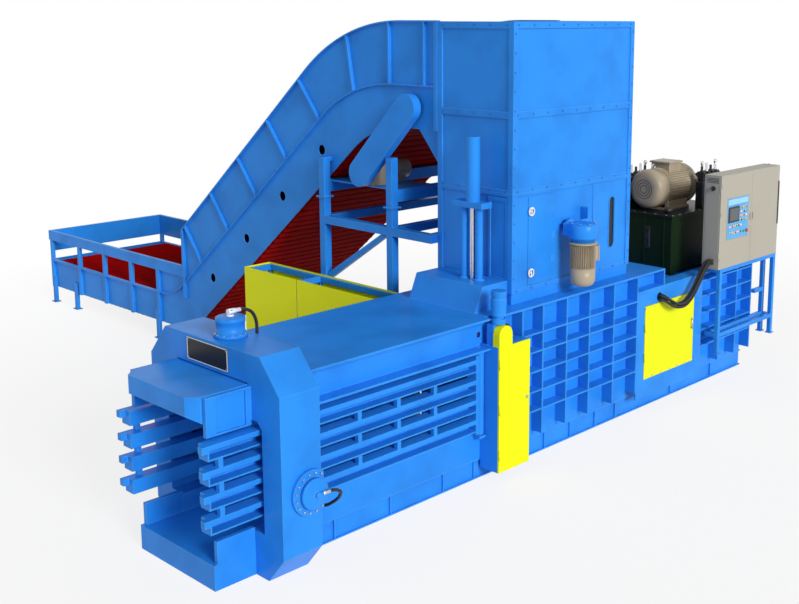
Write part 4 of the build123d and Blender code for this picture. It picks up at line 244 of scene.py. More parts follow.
def window_pane():
    """Acrylic pane, near black and letting little light through, so the dark of the inside seen through the
    window is painted shade on the pane. Transmission stays a plain value.
    """
    material = bpy.data.materials.new("window_pane")
    material.use_nodes = True
    tree = material.node_tree
    shader = tree.nodes["Principled BSDF"]
    place = new_node(tree, "ShaderNodeTexCoord")
    smear = new_node(tree, "ShaderNodeTexNoise")
    smear.inputs["Scale"].default_value = 8.0
    spread = new_node(tree, "ShaderNodeMapRange")
    spread.inputs["To Min"].default_value = 0.03
    spread.inputs["To Max"].default_value = 0.14
    link(tree, place.outputs["Object"], smear.inputs["Vector"])
    link(tree, smear.outputs["Fac"], spread.inputs["Value"])
    link(tree, spread.outputs["Result"], shader.inputs["Roughness"])
    # Near-black colour: painted shade of the dark inside behind the window.
    shader.inputs["Base Color"].default_value = (0.006, 0.012, 0.018, 1)
    shader.inputs["Specular IOR Level"].default_value = 0.25
    shader.inputs["Transmission Weight"].default_value = 0.1
    return material


conduit_black = ribbed("conduit_black")
shaded_pane = window_pane()

NODE_FINISH = {
    blue_enamel: (
        "base_skid exit_floor portal_frame near_side_frame far_side_frame near_squeeze_door far_squeeze_door "
        "squeeze_lid squeeze_cylinders roof near_press_wall far_press_wall rear_frame twister_column "
        "hopper_base hopper_top hopper_side_door tamper_cylinder cabinet_stand conveyor_frame drive_guard "
        "support_frame "
        "loading_table twister_motor needle_frame"
    ),
    yellow_enamel: "twister_guard needle_guard access_cover",
    red_slats: "slat_belt",
    green_enamel: "oil_tank",
    beige_enamel: "pump_motor rotor_gear_motor drive_motor",
    cabinet_powder: "cabinet_shell cabinet_left_door cabinet_right_door",
    dark_iron: "ram main_cylinder feed_rotor valve_blocks",
    bright_steel: (
        "hinge_pins near_squeeze_rod far_squeeze_rod top_squeeze_rod main_piston_rod twister_shaft "
        "needle_carriage tamper_rod head_shaft tail_shaft"
    ),
    zinc_bolt: "flange_bolts",
    plate_black: "name_plate",
    shaded_pane: "sight_window",
    white_plastic: "door_latch_upper door_latch_lower",
    green_plastic: "start_button",
    red_plastic: "emergency_stop",
    black_plastic: "isolator_knob",
    black_hose: "hydraulic_hoses",
    conduit_black: "cable_bundle",
}
for finish, names in NODE_FINISH.items():
    for name in names.split():
        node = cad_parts[name]
        if node.data.materials:
            for i in range(len(node.data.materials)):
                node.material_slots[i].material = finish
        else:
            node.data.materials.append(finish)


# Helpers for the detail pieces
def placed(name, mesh, body, replaced=()):
    """Puts a finished mesh in the scene on a body, and hides the CAD parts it replaces."""
    thing = bpy.data.objects.new(name, mesh)
    scene.collection.objects.link(thing)
    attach(thing, body)
    if replaced:
        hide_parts(*replaced)


def turned_place(origin, axis):
    """The placing that stands a form's Z along an axis at a point."""
    turn = Vector(axis).normalized().to_track_quat("Z", "Y").to_matrix().to_4x4()
    return Matrix.Translation(Vector(origin)) @ turn


class Piece:
    """Collects closed forms in one mesh, each with its own finish."""

    def __init__(self):
        self.mesh = bmesh.new()
        self.finishes = []

    def _finish(self, made, finish, smooth=False):
        if finish not in self.finishes:
            self.finishes.append(finish)
        index = self.finishes.index(finish)
        faces = {f for v in made for f in v.link_faces}
        for f in faces:
            f.material_index = index
            f.smooth = smooth

    def slab(self, low, high, finish, bevel=0.0):
        """A box between two corners, with bevelled edges."""
        low, high = Vector(low), Vector(high)
        size = high - low
        place = Matrix.Translation((low + high) / 2) @ Matrix.Diagonal((*size, 1))
        made = bmesh.ops.create_cube(self.mesh, size=1, matrix=place)["verts"]
        if bevel:
            edges = list(dict.fromkeys(e for v in made for e in v.link_edges))
            result = bmesh.ops.bevel(self.mesh, geom=edges, offset=bevel, segments=2, affect="EDGES",
                                     profile=0.6)
            made = result["verts"]
        self._finish(made, finish)

    def turned(self, origin, axis, profile, finish, sides=32):
        """A turned form: rings of (distance along the axis, radius), closed at both ends."""
        place = turned_place(origin, axis)
        rings = []
        for along, radius in profile:
            ring = []
            for i in range(sides):
                a = 2 * math.pi * i / sides
                point = Vector((radius * math.cos(a), radius * math.sin(a), along))
                ring.append(self.mesh.verts.new(place @ point))
            rings.append(ring)
        made = [v for ring in rings for v in ring]
        for lower, upper in zip(rings, rings[1:]):
            for i in range(sides):
                j = (i + 1) % sides
                self.mesh.faces.new((lower[i], lower[j], upper[j], upper[i]))
        self.mesh.faces.new(list(reversed(rings[0])))
        self.mesh.faces.new(rings[-1])
        self._finish(made, finish)
        for f in {f for v in made for f in v.link_faces}:
            f.smooth = len(f.verts) == 4

    def _tube(self, rows, finish):
        """Closes rows of points, one round each place of a loop, into a round bar."""
        around = len(rows[0])
        for i, here in enumerate(rows):
            after = rows[(i + 1) % len(rows)]
            for k in range(around):
                m = (k + 1) % around
                self.mesh.faces.new((here[k], after[k], after[m], here[m]))
        self._finish([v for row in rows for v in row], finish, smooth=True)

    def ring(self, centre, axis, radius, thick, finish, sides=36, around=10):
        """A round ring of round wire."""
        place = turned_place(centre, axis)
        rows = []
        for i in range(sides):
            a = 2 * math.pi * i / sides
            row = []
            for k in range(around):
                b = 2 * math.pi * k / around
                r = radius + thick * math.cos(b)
                row.append(self.mesh.verts.new(
                    place @ Vector((r * math.cos(a), r * math.sin(a), thick * math.sin(b)))))
            rows.append(row)
        self._tube(rows, finish)

    def rim(self, outline, axis, thick, finish, around=10):
        """A round bar along a closed outline of (point, outward direction) pairs."""
        axis = Vector(axis)
        rows = []
        for point, out in outline:
            row = []
            for k in range(around):
                b = 2 * math.pi * k / around
                row.append(self.mesh.verts.new(point + thick * (math.cos(b) * out + math.sin(b) * axis)))
            rows.append(row)
        self._tube(rows, finish)

    def done(self, name, body, replaced=()):
        """Turns the collected forms into an object that rides on a body."""
        bmesh.ops.recalc_face_normals(self.mesh, faces=self.mesh.faces[:])
        data = bpy.data.meshes.new(name)
        self.mesh.to_mesh(data)
        self.mesh.free()
        for finish in self.finishes:
            data.materials.append(finish)
        placed(name, data, body, replaced)


def open_tree(name, source, inputs, finish, result):
    """A tree that takes geometry, named (kind, value) inputs and a finish, and gives geometry back."""
    tree = bpy.data.node_groups.new(name, "GeometryNodeTree")
    face = tree.interface
    face.new_socket(source, in_out="INPUT", socket_type="NodeSocketGeometry")
    for label, (kind, value) in inputs.items():
        face.new_socket(label, in_out="INPUT", socket_type="NodeSocket" + kind).default_value = value
    face.new_socket(finish, in_out="INPUT", socket_type="NodeSocketMaterial")
    face.new_socket(result, in_out="OUTPUT", socket_type="NodeSocketGeometry")
    return tree, new_node(tree, "NodeGroupInput")


def box_of(tree, start, *sizes):
    """A box whose sizes along X, Y and Z are three of the tree's inputs."""
    size = new_node(tree, "ShaderNodeCombineXYZ")
    for axis, label in zip("XYZ", sizes):
        link(tree, start.outputs[label], size.inputs[axis])
    box = new_node(tree, "GeometryNodeMeshCube")
    link(tree, size.outputs["Vector"], box.inputs["Size"])
    return box.outputs["Mesh"]


def own_aim(tree, **settings):
    """The rotation that turns Z to each point's own aim."""
    aim = new_node(tree, "GeometryNodeInputNamedAttribute", data_type="FLOAT_VECTOR")
    aim.inputs["Name"].default_value = "aim"
    turn = new_node(tree, "FunctionNodeAlignRotationToVector", axis="Z", **settings)
    link(tree, aim.outputs["Attribute"], turn.inputs["Vector"])
    return turn.outputs["Rotation"]


def put_on(tree, points, shape, rotation):
    """A real copy of a shape on every point, each with its own rotation."""
    put = new_node(tree, "GeometryNodeInstanceOnPoints")
    link(tree, points, put.inputs["Points"])
    link(tree, shape, put.inputs["Instance"])
    link(tree, rotation, put.inputs["Rotation"])
    real = new_node(tree, "GeometryNodeRealizeInstances")
    link(tree, put.outputs["Instances"], real.inputs["Geometry"])
    return real.outputs["Geometry"]


def close_tree(tree, geometry, finish):
    """Gives the geometry its finish and sends it out of the tree."""
    paint = new_node(tree, "GeometryNodeSetMaterial")
    link(tree, geometry, paint.inputs["Geometry"])
    link(tree, finish, paint.inputs["Material"])
    end = new_node(tree, "NodeGroupOutput")
    link(tree, paint.outputs["Geometry"], end.inputs[0])
    return tree


def bolt_tree():
    """Hexagonal heads on points, each standing along the point's own aim."""
    inputs = {"Head radius": ("Float", 0.014), "Head height": ("Float", 0.012)}
    tree, start = open_tree("bolt_heads", "Points", inputs, "Head finish", "Heads")
    head = new_node(tree, "GeometryNodeMeshCylinder")
    head.inputs["Vertices"].default_value = 6
    link(tree, start.outputs["Head radius"], head.inputs["Radius"])
    link(tree, start.outputs["Head height"], head.inputs["Depth"])
    heads = put_on(tree, start.outputs["Points"], head.outputs["Mesh"], own_aim(tree))
    return close_tree(tree, heads, start.outputs["Head finish"])


def fin_tree():
    """Cooling fins in a ring round the Z axis, then placed by a rotation and a shift."""
    inputs = {"Fin count": ("Int", 40), "Ring radius": ("Float", 0.27), "Fin height": ("Float", 0.04),
              "Fin thickness": ("Float", 0.006), "Fin length": ("Float", 0.6),
              "Turn": ("Vector", (0, 0, 0)), "Middle": ("Vector", (0, 0, 0))}
    tree, start = open_tree("cooling_fins", "Base", inputs, "Fin finish", "Fins")
    circle = new_node(tree, "GeometryNodeMeshCircle")
    link(tree, start.outputs["Fin count"], circle.inputs["Vertices"])
    link(tree, start.outputs["Ring radius"], circle.inputs["Radius"])
    where = new_node(tree, "GeometryNodeInputPosition")
    turn = new_node(tree, "FunctionNodeAlignRotationToVector", axis="X", pivot_axis="Z")
    link(tree, where.outputs["Position"], turn.inputs["Vector"])
    fin = box_of(tree, start, "Fin height", "Fin thickness", "Fin length")
    fins = put_on(tree, circle.outputs["Mesh"], fin, turn.outputs["Rotation"])
    shift = new_node(tree, "GeometryNodeTransform")
    link(tree, fins, shift.inputs["Geometry"])
    link(tree, start.outputs["Turn"], shift.inputs["Rotation"])
    link(tree, start.outputs["Middle"], shift.inputs["Translation"])
    return close_tree(tree, shift.outputs["Geometry"], start.outputs["Fin finish"])


def strip_tree():
    """Bars across the belt on points, each tilted about X to the slat's own slope."""
    inputs = {"Strip length": ("Float", 2.24), "Strip width": ("Float", 0.078),
              "Strip thickness": ("Float", 0.006)}
    tree, start = open_tree("slat_strips", "Points", inputs, "Strip finish", "Strips")
    bar = box_of(tree, start, "Strip length", "Strip width", "Strip thickness")
    strips = put_on(tree, start.outputs["Points"], bar, own_aim(tree, pivot_axis="X"))
    return close_tree(tree, strips, start.outputs["Strip finish"])


def grown(name, tree, values, body, data=None):
    """Runs a tree on a mesh and leaves a plain mesh object that rides on a body."""
    seed = bpy.data.objects.new(name + "_seed", data or bpy.data.meshes.new(name + "_seed"))
    scene.collection.objects.link(seed)
    modifier = seed.modifiers.new("grow", "NODES")
    modifier.node_group = tree
    for item in tree.interface.items_tree:
        if item.item_type == "SOCKET" and item.in_out == "INPUT" and item.name in values:
            modifier[item.identifier] = values[item.name]
    graph = bpy.context.evaluated_depsgraph_get()
    graph.update()
    mesh = bpy.data.meshes.new_from_object(seed.evaluated_get(graph), depsgraph=graph)
    seed.modifiers.remove(modifier)
    bpy.data.objects.remove(seed)
    mesh.name = name
    placed(name, mesh, body)


BOLTS = bolt_tree()
FINS = fin_tree()


def aimed_points(name, places):
    """Loose points at (point, aim) places, each keeping its aim."""
    data = bpy.data.meshes.new(name + "_points")
    data.from_pydata([point for point, _ in places], [], [])
    aim = data.attributes.new("aim", "FLOAT_VECTOR", "POINT")
    for i, (_, direction) in enumerate(places):
        aim.data[i].vector = direction
    return data


def bolts(name, places, body, finish, radius, height):
    """Bolt heads at (point, aim) places on one body."""
    values = {"Head radius": radius, "Head height": height, "Head finish": finish}
    grown(name, BOLTS, values, body, aimed_points(name, places))


def steps(low, high, pitch):
    """Evenly spaced values from low to high, about a pitch apart."""
    count = max(1, round((high - low) / pitch))
    return [low + (high - low) * i / count for i in range(count + 1)]


# Pump motor on the oil tank: finned body, end cowl, terminal box, feet and bell housing
TANK_TOP = 2.54
MOTOR_Y, MOTOR_Z = 0.200, 2.870
MOTOR_END = 2.742
MOTOR_FLANGE = 3.74
motor = Piece()
motor.turned((2.74, MOTOR_Y, MOTOR_Z), (1, 0, 0),
             [(0, 0.17), (0.01, 0.235), (0.05, 0.275), (0.09, 0.288), (0.26, 0.288), (0.27, 0.262),
              (0.90, 0.262), (0.91, 0.292), (0.955, 0.300), (0.96, 0.312), (0.99, 0.312), (0.995, 0.21),
              (1.14, 0.19), (1.145, 0.125), (1.32, 0.12), (1.33, 0.105)],
             beige_enamel, sides=56)
for radius in (0.06, 0.10, 0.14):
    motor.ring((MOTOR_END, MOTOR_Y, MOTOR_Z), (1, 0, 0), radius, 0.006, dark_vent)
motor.slab((3.16, 0.04, 3.05), (3.48, 0.36, 3.225), beige_enamel, 0.008)
motor.slab((3.14, 0.02, 3.225), (3.50, 0.38, 3.252), beige_enamel, 0.006)
for foot_y in (MOTOR_Y - 0.20, MOTOR_Y + 0.20):
    motor.slab((3.05, foot_y - 0.03, 2.56), (3.58, foot_y + 0.03, 2.68), beige_enamel, 0.008)
motor.slab((3.02, -0.05, TANK_TOP), (3.60, 0.45, 2.575), beige_enamel, 0.004)
for lug_x in (2.98, 3.58):
    motor.ring((lug_x, MOTOR_Y, 3.19), (0, 1, 0), 0.035, 0.010, zinc_bolt)
motor.done("pump_motor_body", "press", ["pump_motor"])
grown("pump_motor_fins", FINS,
      {"Fin count": 48, "Ring radius": 0.270, "Fin height": 0.034, "Fin thickness": 0.007, "Fin length": 0.60,
       "Turn": (0, math.pi / 2, 0), "Middle": (3.33, MOTOR_Y, MOTOR_Z), "Fin finish": beige_enamel},
      "press")

# Hanging gear motor of the rotor: gear case, finned motor, cowl and torque arm
DRIVE_X, DRIVE_Y = -0.190, -0.900
gear = Piece()
gear.turned((DRIVE_X, DRIVE_Y, 2.895), (0, 0, -1),
            [(0, 0.10), (0.01, 0.165), (0.03, 0.182), (0.10, 0.185), (0.17, 0.182), (0.19, 0.175),
             (0.195, 0.150), (0.24, 0.145)],
            blue_enamel, sides=48)
gear.turned((DRIVE_X, DRIVE_Y, 2.656), (0, 0, -1),
            [(0, 0.140), (0.006, 0.176), (0.023, 0.176), (0.029, 0.138), (0.321, 0.138), (0.326, 0.160),
             (0.481, 0.158), (0.526, 0.140), (0.551, 0.10)], beige_enamel, sides=48)
gear.slab((DRIVE_X - 0.12, -0.90, 2.725), (DRIVE_X + 0.15, -0.668, 2.885), blue_enamel, 0.012)
gear.turned((DRIVE_X, -0.664, 2.83), (0, -1, 0), [(0, 0.092), (0.05, 0.092), (0.056, 0.08)], blue_enamel)
gear.slab((DRIVE_X + 0.10, DRIVE_Y - 0.06, 2.39), (DRIVE_X + 0.245, DRIVE_Y + 0.06, 2.58), beige_enamel,
          0.008)
gear.slab((DRIVE_X + 0.245, DRIVE_Y - 0.066, 2.385), (DRIVE_X + 0.262, DRIVE_Y + 0.066, 2.585), beige_enamel,
          0.004)
gear.slab((DRIVE_X + 0.33, -0.72, 2.77), (DRIVE_X + 0.38, -0.600, 3.02), blue_enamel, 0.006)
gear.slab((DRIVE_X + 0.14, -0.75, 2.77), (DRIVE_X + 0.38, -0.71, 2.89), blue_enamel, 0.006)
for radius in (0.04, 0.07):
    gear.ring((DRIVE_X, DRIVE_Y, 2.106), (0, 0, 1), radius, 0.004, dark_vent)
gear.done("rotor_drive", "press", ["rotor_gear_motor"])
grown("rotor_drive_fins", FINS,
      {"Fin count": 36, "Ring radius": 0.147, "Fin height": 0.026, "Fin thickness": 0.005, "Fin length": 0.28,
       "Turn": (0, 0, 0), "Middle": (DRIVE_X, DRIVE_Y, 2.480), "Fin finish": beige_enamel},
      "press")


# Valve manifolds: blocks, solenoids, plugs, gauges and short pipes
def manifold(piece, x0, x1, y0, y1, top, count):
    """One manifold block with its stacked valves."""
    middle = (y0 + y1) / 2
    piece.slab((x0, y0, TANK_TOP), (x1, y1, top - 0.30), dark_iron, 0.006)
    piece.slab((x0 + 0.03, y0 + 0.01, top - 0.30), (x1 - 0.03, y1 - 0.01, top - 0.24), dark_iron, 0.005)
    pitch = (x1 - x0) / count
    for i in range(count):
        x = x0 + (i + 0.5) * pitch
        half = 0.30 * pitch
        piece.slab((x - half, y0, top - 0.24), (x + half, y1, top - 0.15), dark_iron, 0.005)
        for side in (-1, 1):
            piece.turned((x, middle + side * 0.040, top - 0.195), (0, side, 0),
                         [(0, 0.026), (0.05, 0.026), (0.055, 0.020), (0.070, 0.012)], black_plastic, 16)
        height = 0.12 if i % 2 else 0.08
        piece.turned((x, middle, top - 0.15), (0, 0, 1),
                     [(0, 0.028), (0.02, 0.028), (0.022, 0.020), (height, 0.020), (height + 0.006, 0.010)],
                     bright_steel if i % 2 else dark_iron, 16)
        piece.turned((x, y0 + 0.002, TANK_TOP + 0.14), (0, -1, 0),
                     [(0, 0.022), (0.03, 0.022), (0.034, 0.014)], bright_steel, 12)
    for x in (x0 + 0.5 * pitch, x1 - 0.5 * pitch):
        piece.turned((x, middle, top - 0.10), (0, 0, 1), [(0, 0.012), (0.05, 0.012), (0.055, 0.010)],
                     zinc_bolt, 12)
        piece.turned((x, middle + 0.006, top - 0.02), (0, -1, 0),
                     [(0, 0.034), (0.022, 0.034), (0.024, 0.030)], bright_steel, 24)
        piece.turned((x, middle - 0.019, top - 0.02), (0, -1, 0), [(0, 0.027), (0.002, 0.027)], white_plastic,
                     24)


valves = Piece()
manifold(valves, 2.72, 3.32, 0.495, 0.585, 3.22, 5)
manifold(valves, 3.56, 4.06, -0.300, -0.180, 3.24, 4)
valves.ring((2.80, 0.54, 2.92), (1, 0, 0), 0.05, 0.009, black_hose)
valves.done("valve_stacks", "press", ["valve_blocks"])

# Oil tank: dark lid, rim bolts, level glass, filler and breather
tank = Piece()
tank.slab((2.647, -0.373, 2.512), (4.173, 0.613, 2.5425), tank_lid_enamel, 0.004)
tank.slab((2.664, 0.02, 2.02), (2.671, 0.10, 2.34), dark_iron, 0.002)
tank.slab((2.661, 0.04, 2.05), (2.666, 0.08, 2.31), screen_black, 0.002)
tank.turned((2.80, -0.20, TANK_TOP), (0, 0, 1),
            [(0, 0.05), (0.03, 0.05), (0.035, 0.062), (0.08, 0.062), (0.09, 0.045)], black_plastic, 24)
tank.turned((4.02, 0.42, TANK_TOP), (0, 0, 1),
            [(0, 0.04), (0.05, 0.04), (0.055, 0.055), (0.13, 0.055), (0.14, 0.04)], bright_steel, 24)
for y in (-0.22, 0.12, 0.46):
    tank.slab((2.660, y - 0.008, 1.72), (2.671, y + 0.008, 2.50), green_enamel, 0.002)
tank.done("tank_fittings", "press")

# Operator panel on the left cabinet door, with screen, key rows and small lamps
panel = Piece()
PANEL_FACE = -1.056
DOOR_FRONT = -1.049
panel.slab((3.012, PANEL_FACE - 0.0005, 2.232), (3.608, PANEL_FACE + 0.001, 2.828), panel_blue, 0.0003)
panel.slab((3.030, PANEL_FACE - 0.0012, 2.730), (3.590, PANEL_FACE + 0.0005, 2.810), panel_pale, 0.0004)
panel.slab((3.040, PANEL_FACE - 0.012, 2.475), (3.330, PANEL_FACE + 0.001, 2.700), black_plastic, 0.003)
panel.slab((3.062, PANEL_FACE - 0.014, 2.500), (3.308, PANEL_FACE - 0.010, 2.678), screen_black, 0.001)


def lamp_button(x, z, finish):
    """A collar and a lit cap on the panel."""
    panel.turned((x, PANEL_FACE + 0.001, z), (0, -1, 0),
                 [(0, 0.020), (0.009, 0.020), (0.011, 0.015)], pale_trim, 20)
    panel.turned((x, PANEL_FACE - 0.009, z), (0, -1, 0),
                 [(0, 0.0145), (0.009, 0.0145), (0.011, 0.010)], finish, 20)


LAMPS = (green_plastic, white_plastic, amber_plastic, black_plastic, red_plastic)
LAMP_COUNT = len(LAMPS)
for row, z in enumerate((2.670, 2.610, 2.550, 2.490)):
    for column, x in enumerate((3.39, 3.46, 3.53)):
        lamp_button(x, z, LAMPS[(row + 2 * column) % LAMP_COUNT])
for i in range(6):
    lamp_button(3.070 + 0.062 * i, 2.415, LAMPS[(3 * i + 1) % LAMP_COUNT])
for i in range(5):
    lamp_button(3.090 + 0.070 * i, 2.320, LAMPS[(2 * i) % LAMP_COUNT])
panel.done("operator_panel", "cab_door_left")

door_fittings = Piece()
door_fittings.slab((3.662, -1.066, 2.45), (3.684, DOOR_FRONT, 2.55), cabinet_powder, 0.005)
door_fittings.turned((3.672, -1.050, 2.37), (0, -1, 0), [(0, 0.014), (0.008, 0.014), (0.010, 0.009)],
                     bright_steel, 20)
for z in (1.98, 2.62, 3.02):
    door_fittings.slab((2.828, -1.060, z - 0.03), (2.850, -1.048, z + 0.03), cabinet_powder, 0.003)
door_fittings.done("left_door_fittings", "cab_door_left")

right_fittings = Piece()
right_fittings.slab((3.736, -1.066, 2.45), (3.758, DOOR_FRONT, 2.55), cabinet_powder, 0.005)
right_fittings.slab((4.498, -1.062, 2.28), (4.522, DOOR_FRONT, 2.94), black_plastic, 0.004)
for z in (2.30, 2.61, 2.92):
    right_fittings.turned((4.510, -1.061, z), (0, -1, 0), [(0, 0.006), (0.003, 0.005)], zinc_bolt, 12)
right_fittings.done("right_door_fittings", "cab_door_right")

shell_fittings = Piece()
SHELL_SIDE = 2.8205
shell_fittings.slab((2.818, -1.030, 1.84), (SHELL_SIDE, -0.800, 3.16), cabinet_powder, 0.001)
for i in range(4):
    z = 3.072 + 0.020 * i
    shell_fittings.slab((2.8165, -1.010, z), (SHELL_SIDE, -0.82, z + 0.009), dark_vent, 0.001)
for x in (2.90, 4.45):
    shell_fittings.ring((x, -0.90, 3.178), (0, 1, 0), 0.018, 0.005, zinc_bolt)
shell_fittings.slab((2.8192, -0.975, 2.945), (SHELL_SIDE, -0.885, 3.041), amber_plastic, 0.0005)
for x in (2.93, 4.51):
    shell_fittings.slab((x - 0.04, -1.01, 1.808), (x + 0.04, -0.80, 1.822), zinc_bolt, 0.002)
shell_fittings.done("cabinet_fittings", "press")

# Squeeze cylinders: cap grooves, nozzles and elbows
SIDE_CYLINDER = (-4.719, 0.888)
TOP_CYLINDER_X = -4.800
caps = Piece()
x, z = SIDE_CYLINDER
for side in (-1, 1):
    caps.turned((x, side * 1.135, z), (0, side, 0),
                [(0, 0.128), (0.012, 0.128), (0.016, 0.157), (0.052, 0.157), (0.058, 0.148), (0.060, 0.07),
                 (0.066, 0.05)], blue_enamel, 56)
    caps.turned((x, side * 1.188, z), (0, side, 0),
                [(0, 0.034), (0.012, 0.034), (0.014, 0.025), (0.030, 0.025)], bright_steel, 6)
    caps.turned((x + 0.045, side * 1.220, z), (1, 0, 0),
                [(0, 0.0196), (0.05, 0.0196), (0.052, 0.0186), (0.10, 0.0186), (0.102, 0.018)], bright_steel,
                24)
    caps.turned((x + 0.390, side * 0.652, 0.518), (0, side, 0),
                [(0, 0.032), (0.012, 0.032), (0.014, 0.022), (0.07, 0.022), (0.072, 0.019)], bright_steel, 24)
x = TOP_CYLINDER_X
caps.turned((x, 0, 2.238), (0, 0, 1),
            [(0, 0.170), (0.035, 0.170), (0.037, 0.143), (0.15, 0.143), (0.155, 0.150), (0.198, 0.150),
             (0.204, 0.140), (0.206, 0.04)], blue_enamel, 56)
caps.turned((x, 0, 2.44), (0, 0, 1), [(0, 0.036), (0.02, 0.036), (0.022, 0.028), (0.045, 0.028)],
            white_plastic, 24)
caps.turned((x - 0.03, 0, 2.49), (1, 0, 0),
            [(0, 0.028), (0.02, 0.030), (0.09, 0.028), (0.095, 0.022), (0.15, 0.022), (0.152, 0.019)],
            white_plastic, 24)
caps.turned((x + 0.320, 0, 1.981), (0, 0, 1), [(0, 0.034), (0.014, 0.034), (0.016, 0.023), (0.08, 0.023)],
            bright_steel, 24)
caps.done("cylinder_caps", "press")

# Blank name plate: pale frame and four screws
plate_frame = Piece()
PLATE_X = -5.060
PLATE_LOW, PLATE_HIGH = (-0.297, 1.983), (0.395, 2.212)
STRIP_WIDE = 0.010
STRIP_THICK = 0.004
(left, bottom), (right, top) = PLATE_LOW, PLATE_HIGH
for y0, z0, y1, z1 in ((left, bottom, right, bottom + STRIP_WIDE), (left, top - STRIP_WIDE, right, top),
                       (left, bottom, left + STRIP_WIDE, top), (right - STRIP_WIDE, bottom, right, top)):
    plate_frame.slab((PLATE_X, y0, z0), (PLATE_X + STRIP_THICK, y1, z1), pale_trim, 0.001)
for y in (-0.272, 0.370):
    for z in (2.008, 2.187):
        plate_frame.turned((PLATE_X + 0.003, y, z), (-1, 0, 0), [(0, 0.007), (0.003, 0.006)], zinc_bolt, 12)
plate_frame.done("name_plate_frame", "press")

# Sight window frame, then the hinges and handle of the access cover
trim = Piece()
WINDOW_X, WINDOW_Z = 0.813, 2.735
HALF_RUN, HALF_WIDE = 0.280, 0.062
RIM_POINTS = 48
outline = []
for i in range(RIM_POINTS):
    a = 2 * math.pi * (i + 0.5) / RIM_POINTS
    out = Vector((math.cos(a), 0, math.sin(a)))
    shift = HALF_RUN if out.z > 0 else -HALF_RUN
    outline.append((Vector((WINDOW_X, -0.603, WINDOW_Z + shift)) + out * HALF_WIDE, out))
trim.rim(outline, (0, -1, 0), 0.007, blue_enamel)
for z in (-0.24, -0.08, 0.08, 0.24):
    for side in (-1, 1):
        trim.turned((WINDOW_X + side * (HALF_WIDE + 0.016), -0.599, WINDOW_Z + z), (0, -1, 0),
                    [(0, 0.008), (0.005, 0.007)], blue_bolt, 12)
trim.done("window_frame", "press")

cover_trim = Piece()
COVER_FRONT = -0.8265
for z in (0.80, 1.22):
    cover_trim.slab((1.33, -0.836, z - 0.05), (1.37, -0.824, z + 0.05), yellow_enamel, 0.003)
    cover_trim.turned((1.335, -0.836, z - 0.055), (0, 0, 1), [(0, 0.009), (0.11, 0.009)], yellow_enamel, 16)
for z in (0.99, 1.11):
    cover_trim.slab((2.50, -0.838, z), (2.525, -0.826, z + 0.02), zinc_bolt, 0.002)
cover_trim.turned((2.512, -0.850, 0.98), (0, 0, 1), [(0, 0.008), (0.16, 0.008)], zinc_bolt, 16)
cover_trim.done("cover_trim", "press")

# Twister guard: hinge barrels and lock
guard_trim = Piece()
for z in (0.35, 0.90, 1.45):
    guard_trim.turned((-1.792, -0.952, z - 0.06), (0, 0, 1), [(0, 0.011), (0.12, 0.011)], yellow_enamel, 16)
guard_trim.turned((-1.30, -0.949, 0.95), (0, -1, 0), [(0, 0.018), (0.012, 0.018), (0.014, 0.012)], zinc_bolt,
                  20)
guard_trim.done("guard_trim", "press")

# Bolt heads in rows, one mesh for each finish
HOPPER_FRONT, HOPPER_SIDE = -0.6185, 1.2065
BELT_SIDE = 1.2135
TANK_LID_TOP = 2.5445
TOP_CAP_RING = 0.155
GEAR_CASE_RING = 0.160
MOTOR_FLANGE_RING = 0.28
FOOT_PLATE_TOP = 0.024
FOOT_BOLT_YS = (1.305, 1.465, 2.655, 2.815)


def round_places(count, start=0.0):
    """Evenly spaced (cosine, sine) pairs round a circle."""
    angles = [2 * math.pi * (i + start) / count for i in range(count)]
    return [(math.cos(a), math.sin(a)) for a in angles]


places = []
for z in (2.140, 3.350, 4.256, 5.300):
    for x in steps(-1.12, 1.12, 0.28):
        places.append(((x, HOPPER_FRONT, z), (0, -1, 0)))
    for y in steps(-0.52, 0.52, 0.26):
        places.append(((-HOPPER_SIDE, y, z), (-1, 0, 0)))
        places.append(((HOPPER_SIDE, y, z), (1, 0, 0)))
for x in (-1.175, 1.175):
    for z in steps(2.30, 5.20, 0.22):
        places.append(((x, HOPPER_FRONT, z), (0, -1, 0)))
bolts("hopper_bolts", places, "press", blue_bolt, 0.013, 0.012)

SLOPE = math.tan(math.radians(39.5))
places = []
for y in steps(2.95, 6.05, 0.235):
    z = 4.060 - SLOPE * (y - 2.850) - 0.013
    for side in (-1, 1):
        places.append(((side * BELT_SIDE, y, z), (side, 0, 0)))
for y in steps(0.75, 1.35, 0.2):
    for side in (-1, 1):
        places.append(((side * BELT_SIDE, y, 4.540), (side, 0, 0)))
bolts("conveyor_bolts", places, "press", blue_bolt, 0.010, 0.010)

places = []
for x in steps(2.69, 4.13, 0.18):
    places.append(((x, -0.352, TANK_LID_TOP), (0, 0, 1)))
    places.append(((x, 0.592, TANK_LID_TOP), (0, 0, 1)))
for y in steps(-0.25, 0.49, 0.18):
    places.append(((2.668, y, TANK_LID_TOP), (0, 0, 1)))
    places.append(((4.152, y, TANK_LID_TOP), (0, 0, 1)))
for x in steps(1.345, 2.575, 0.205):
    places.append(((x, COVER_FRONT, 0.515), (0, -1, 0)))
    places.append(((x, COVER_FRONT, 1.492), (0, -1, 0)))
for across, along in round_places(12):
    places.append(((TOP_CYLINDER_X + TOP_CAP_RING * across, TOP_CAP_RING * along, 2.276), (0, 0, 1)))
for across, along in round_places(8, 0.5):
    places.append(((DRIVE_X + GEAR_CASE_RING * across, DRIVE_Y + GEAR_CASE_RING * along, 2.898), (0, 0, 1)))
    places.append(((MOTOR_FLANGE, MOTOR_Y + MOTOR_FLANGE_RING * across, MOTOR_Z + MOTOR_FLANGE_RING * along),
                   (1, 0, 0)))
for x in (3.18, 3.46):
    for y in (0.06, 0.34):
        places.append(((x, y, 3.254), (0, 0, 1)))
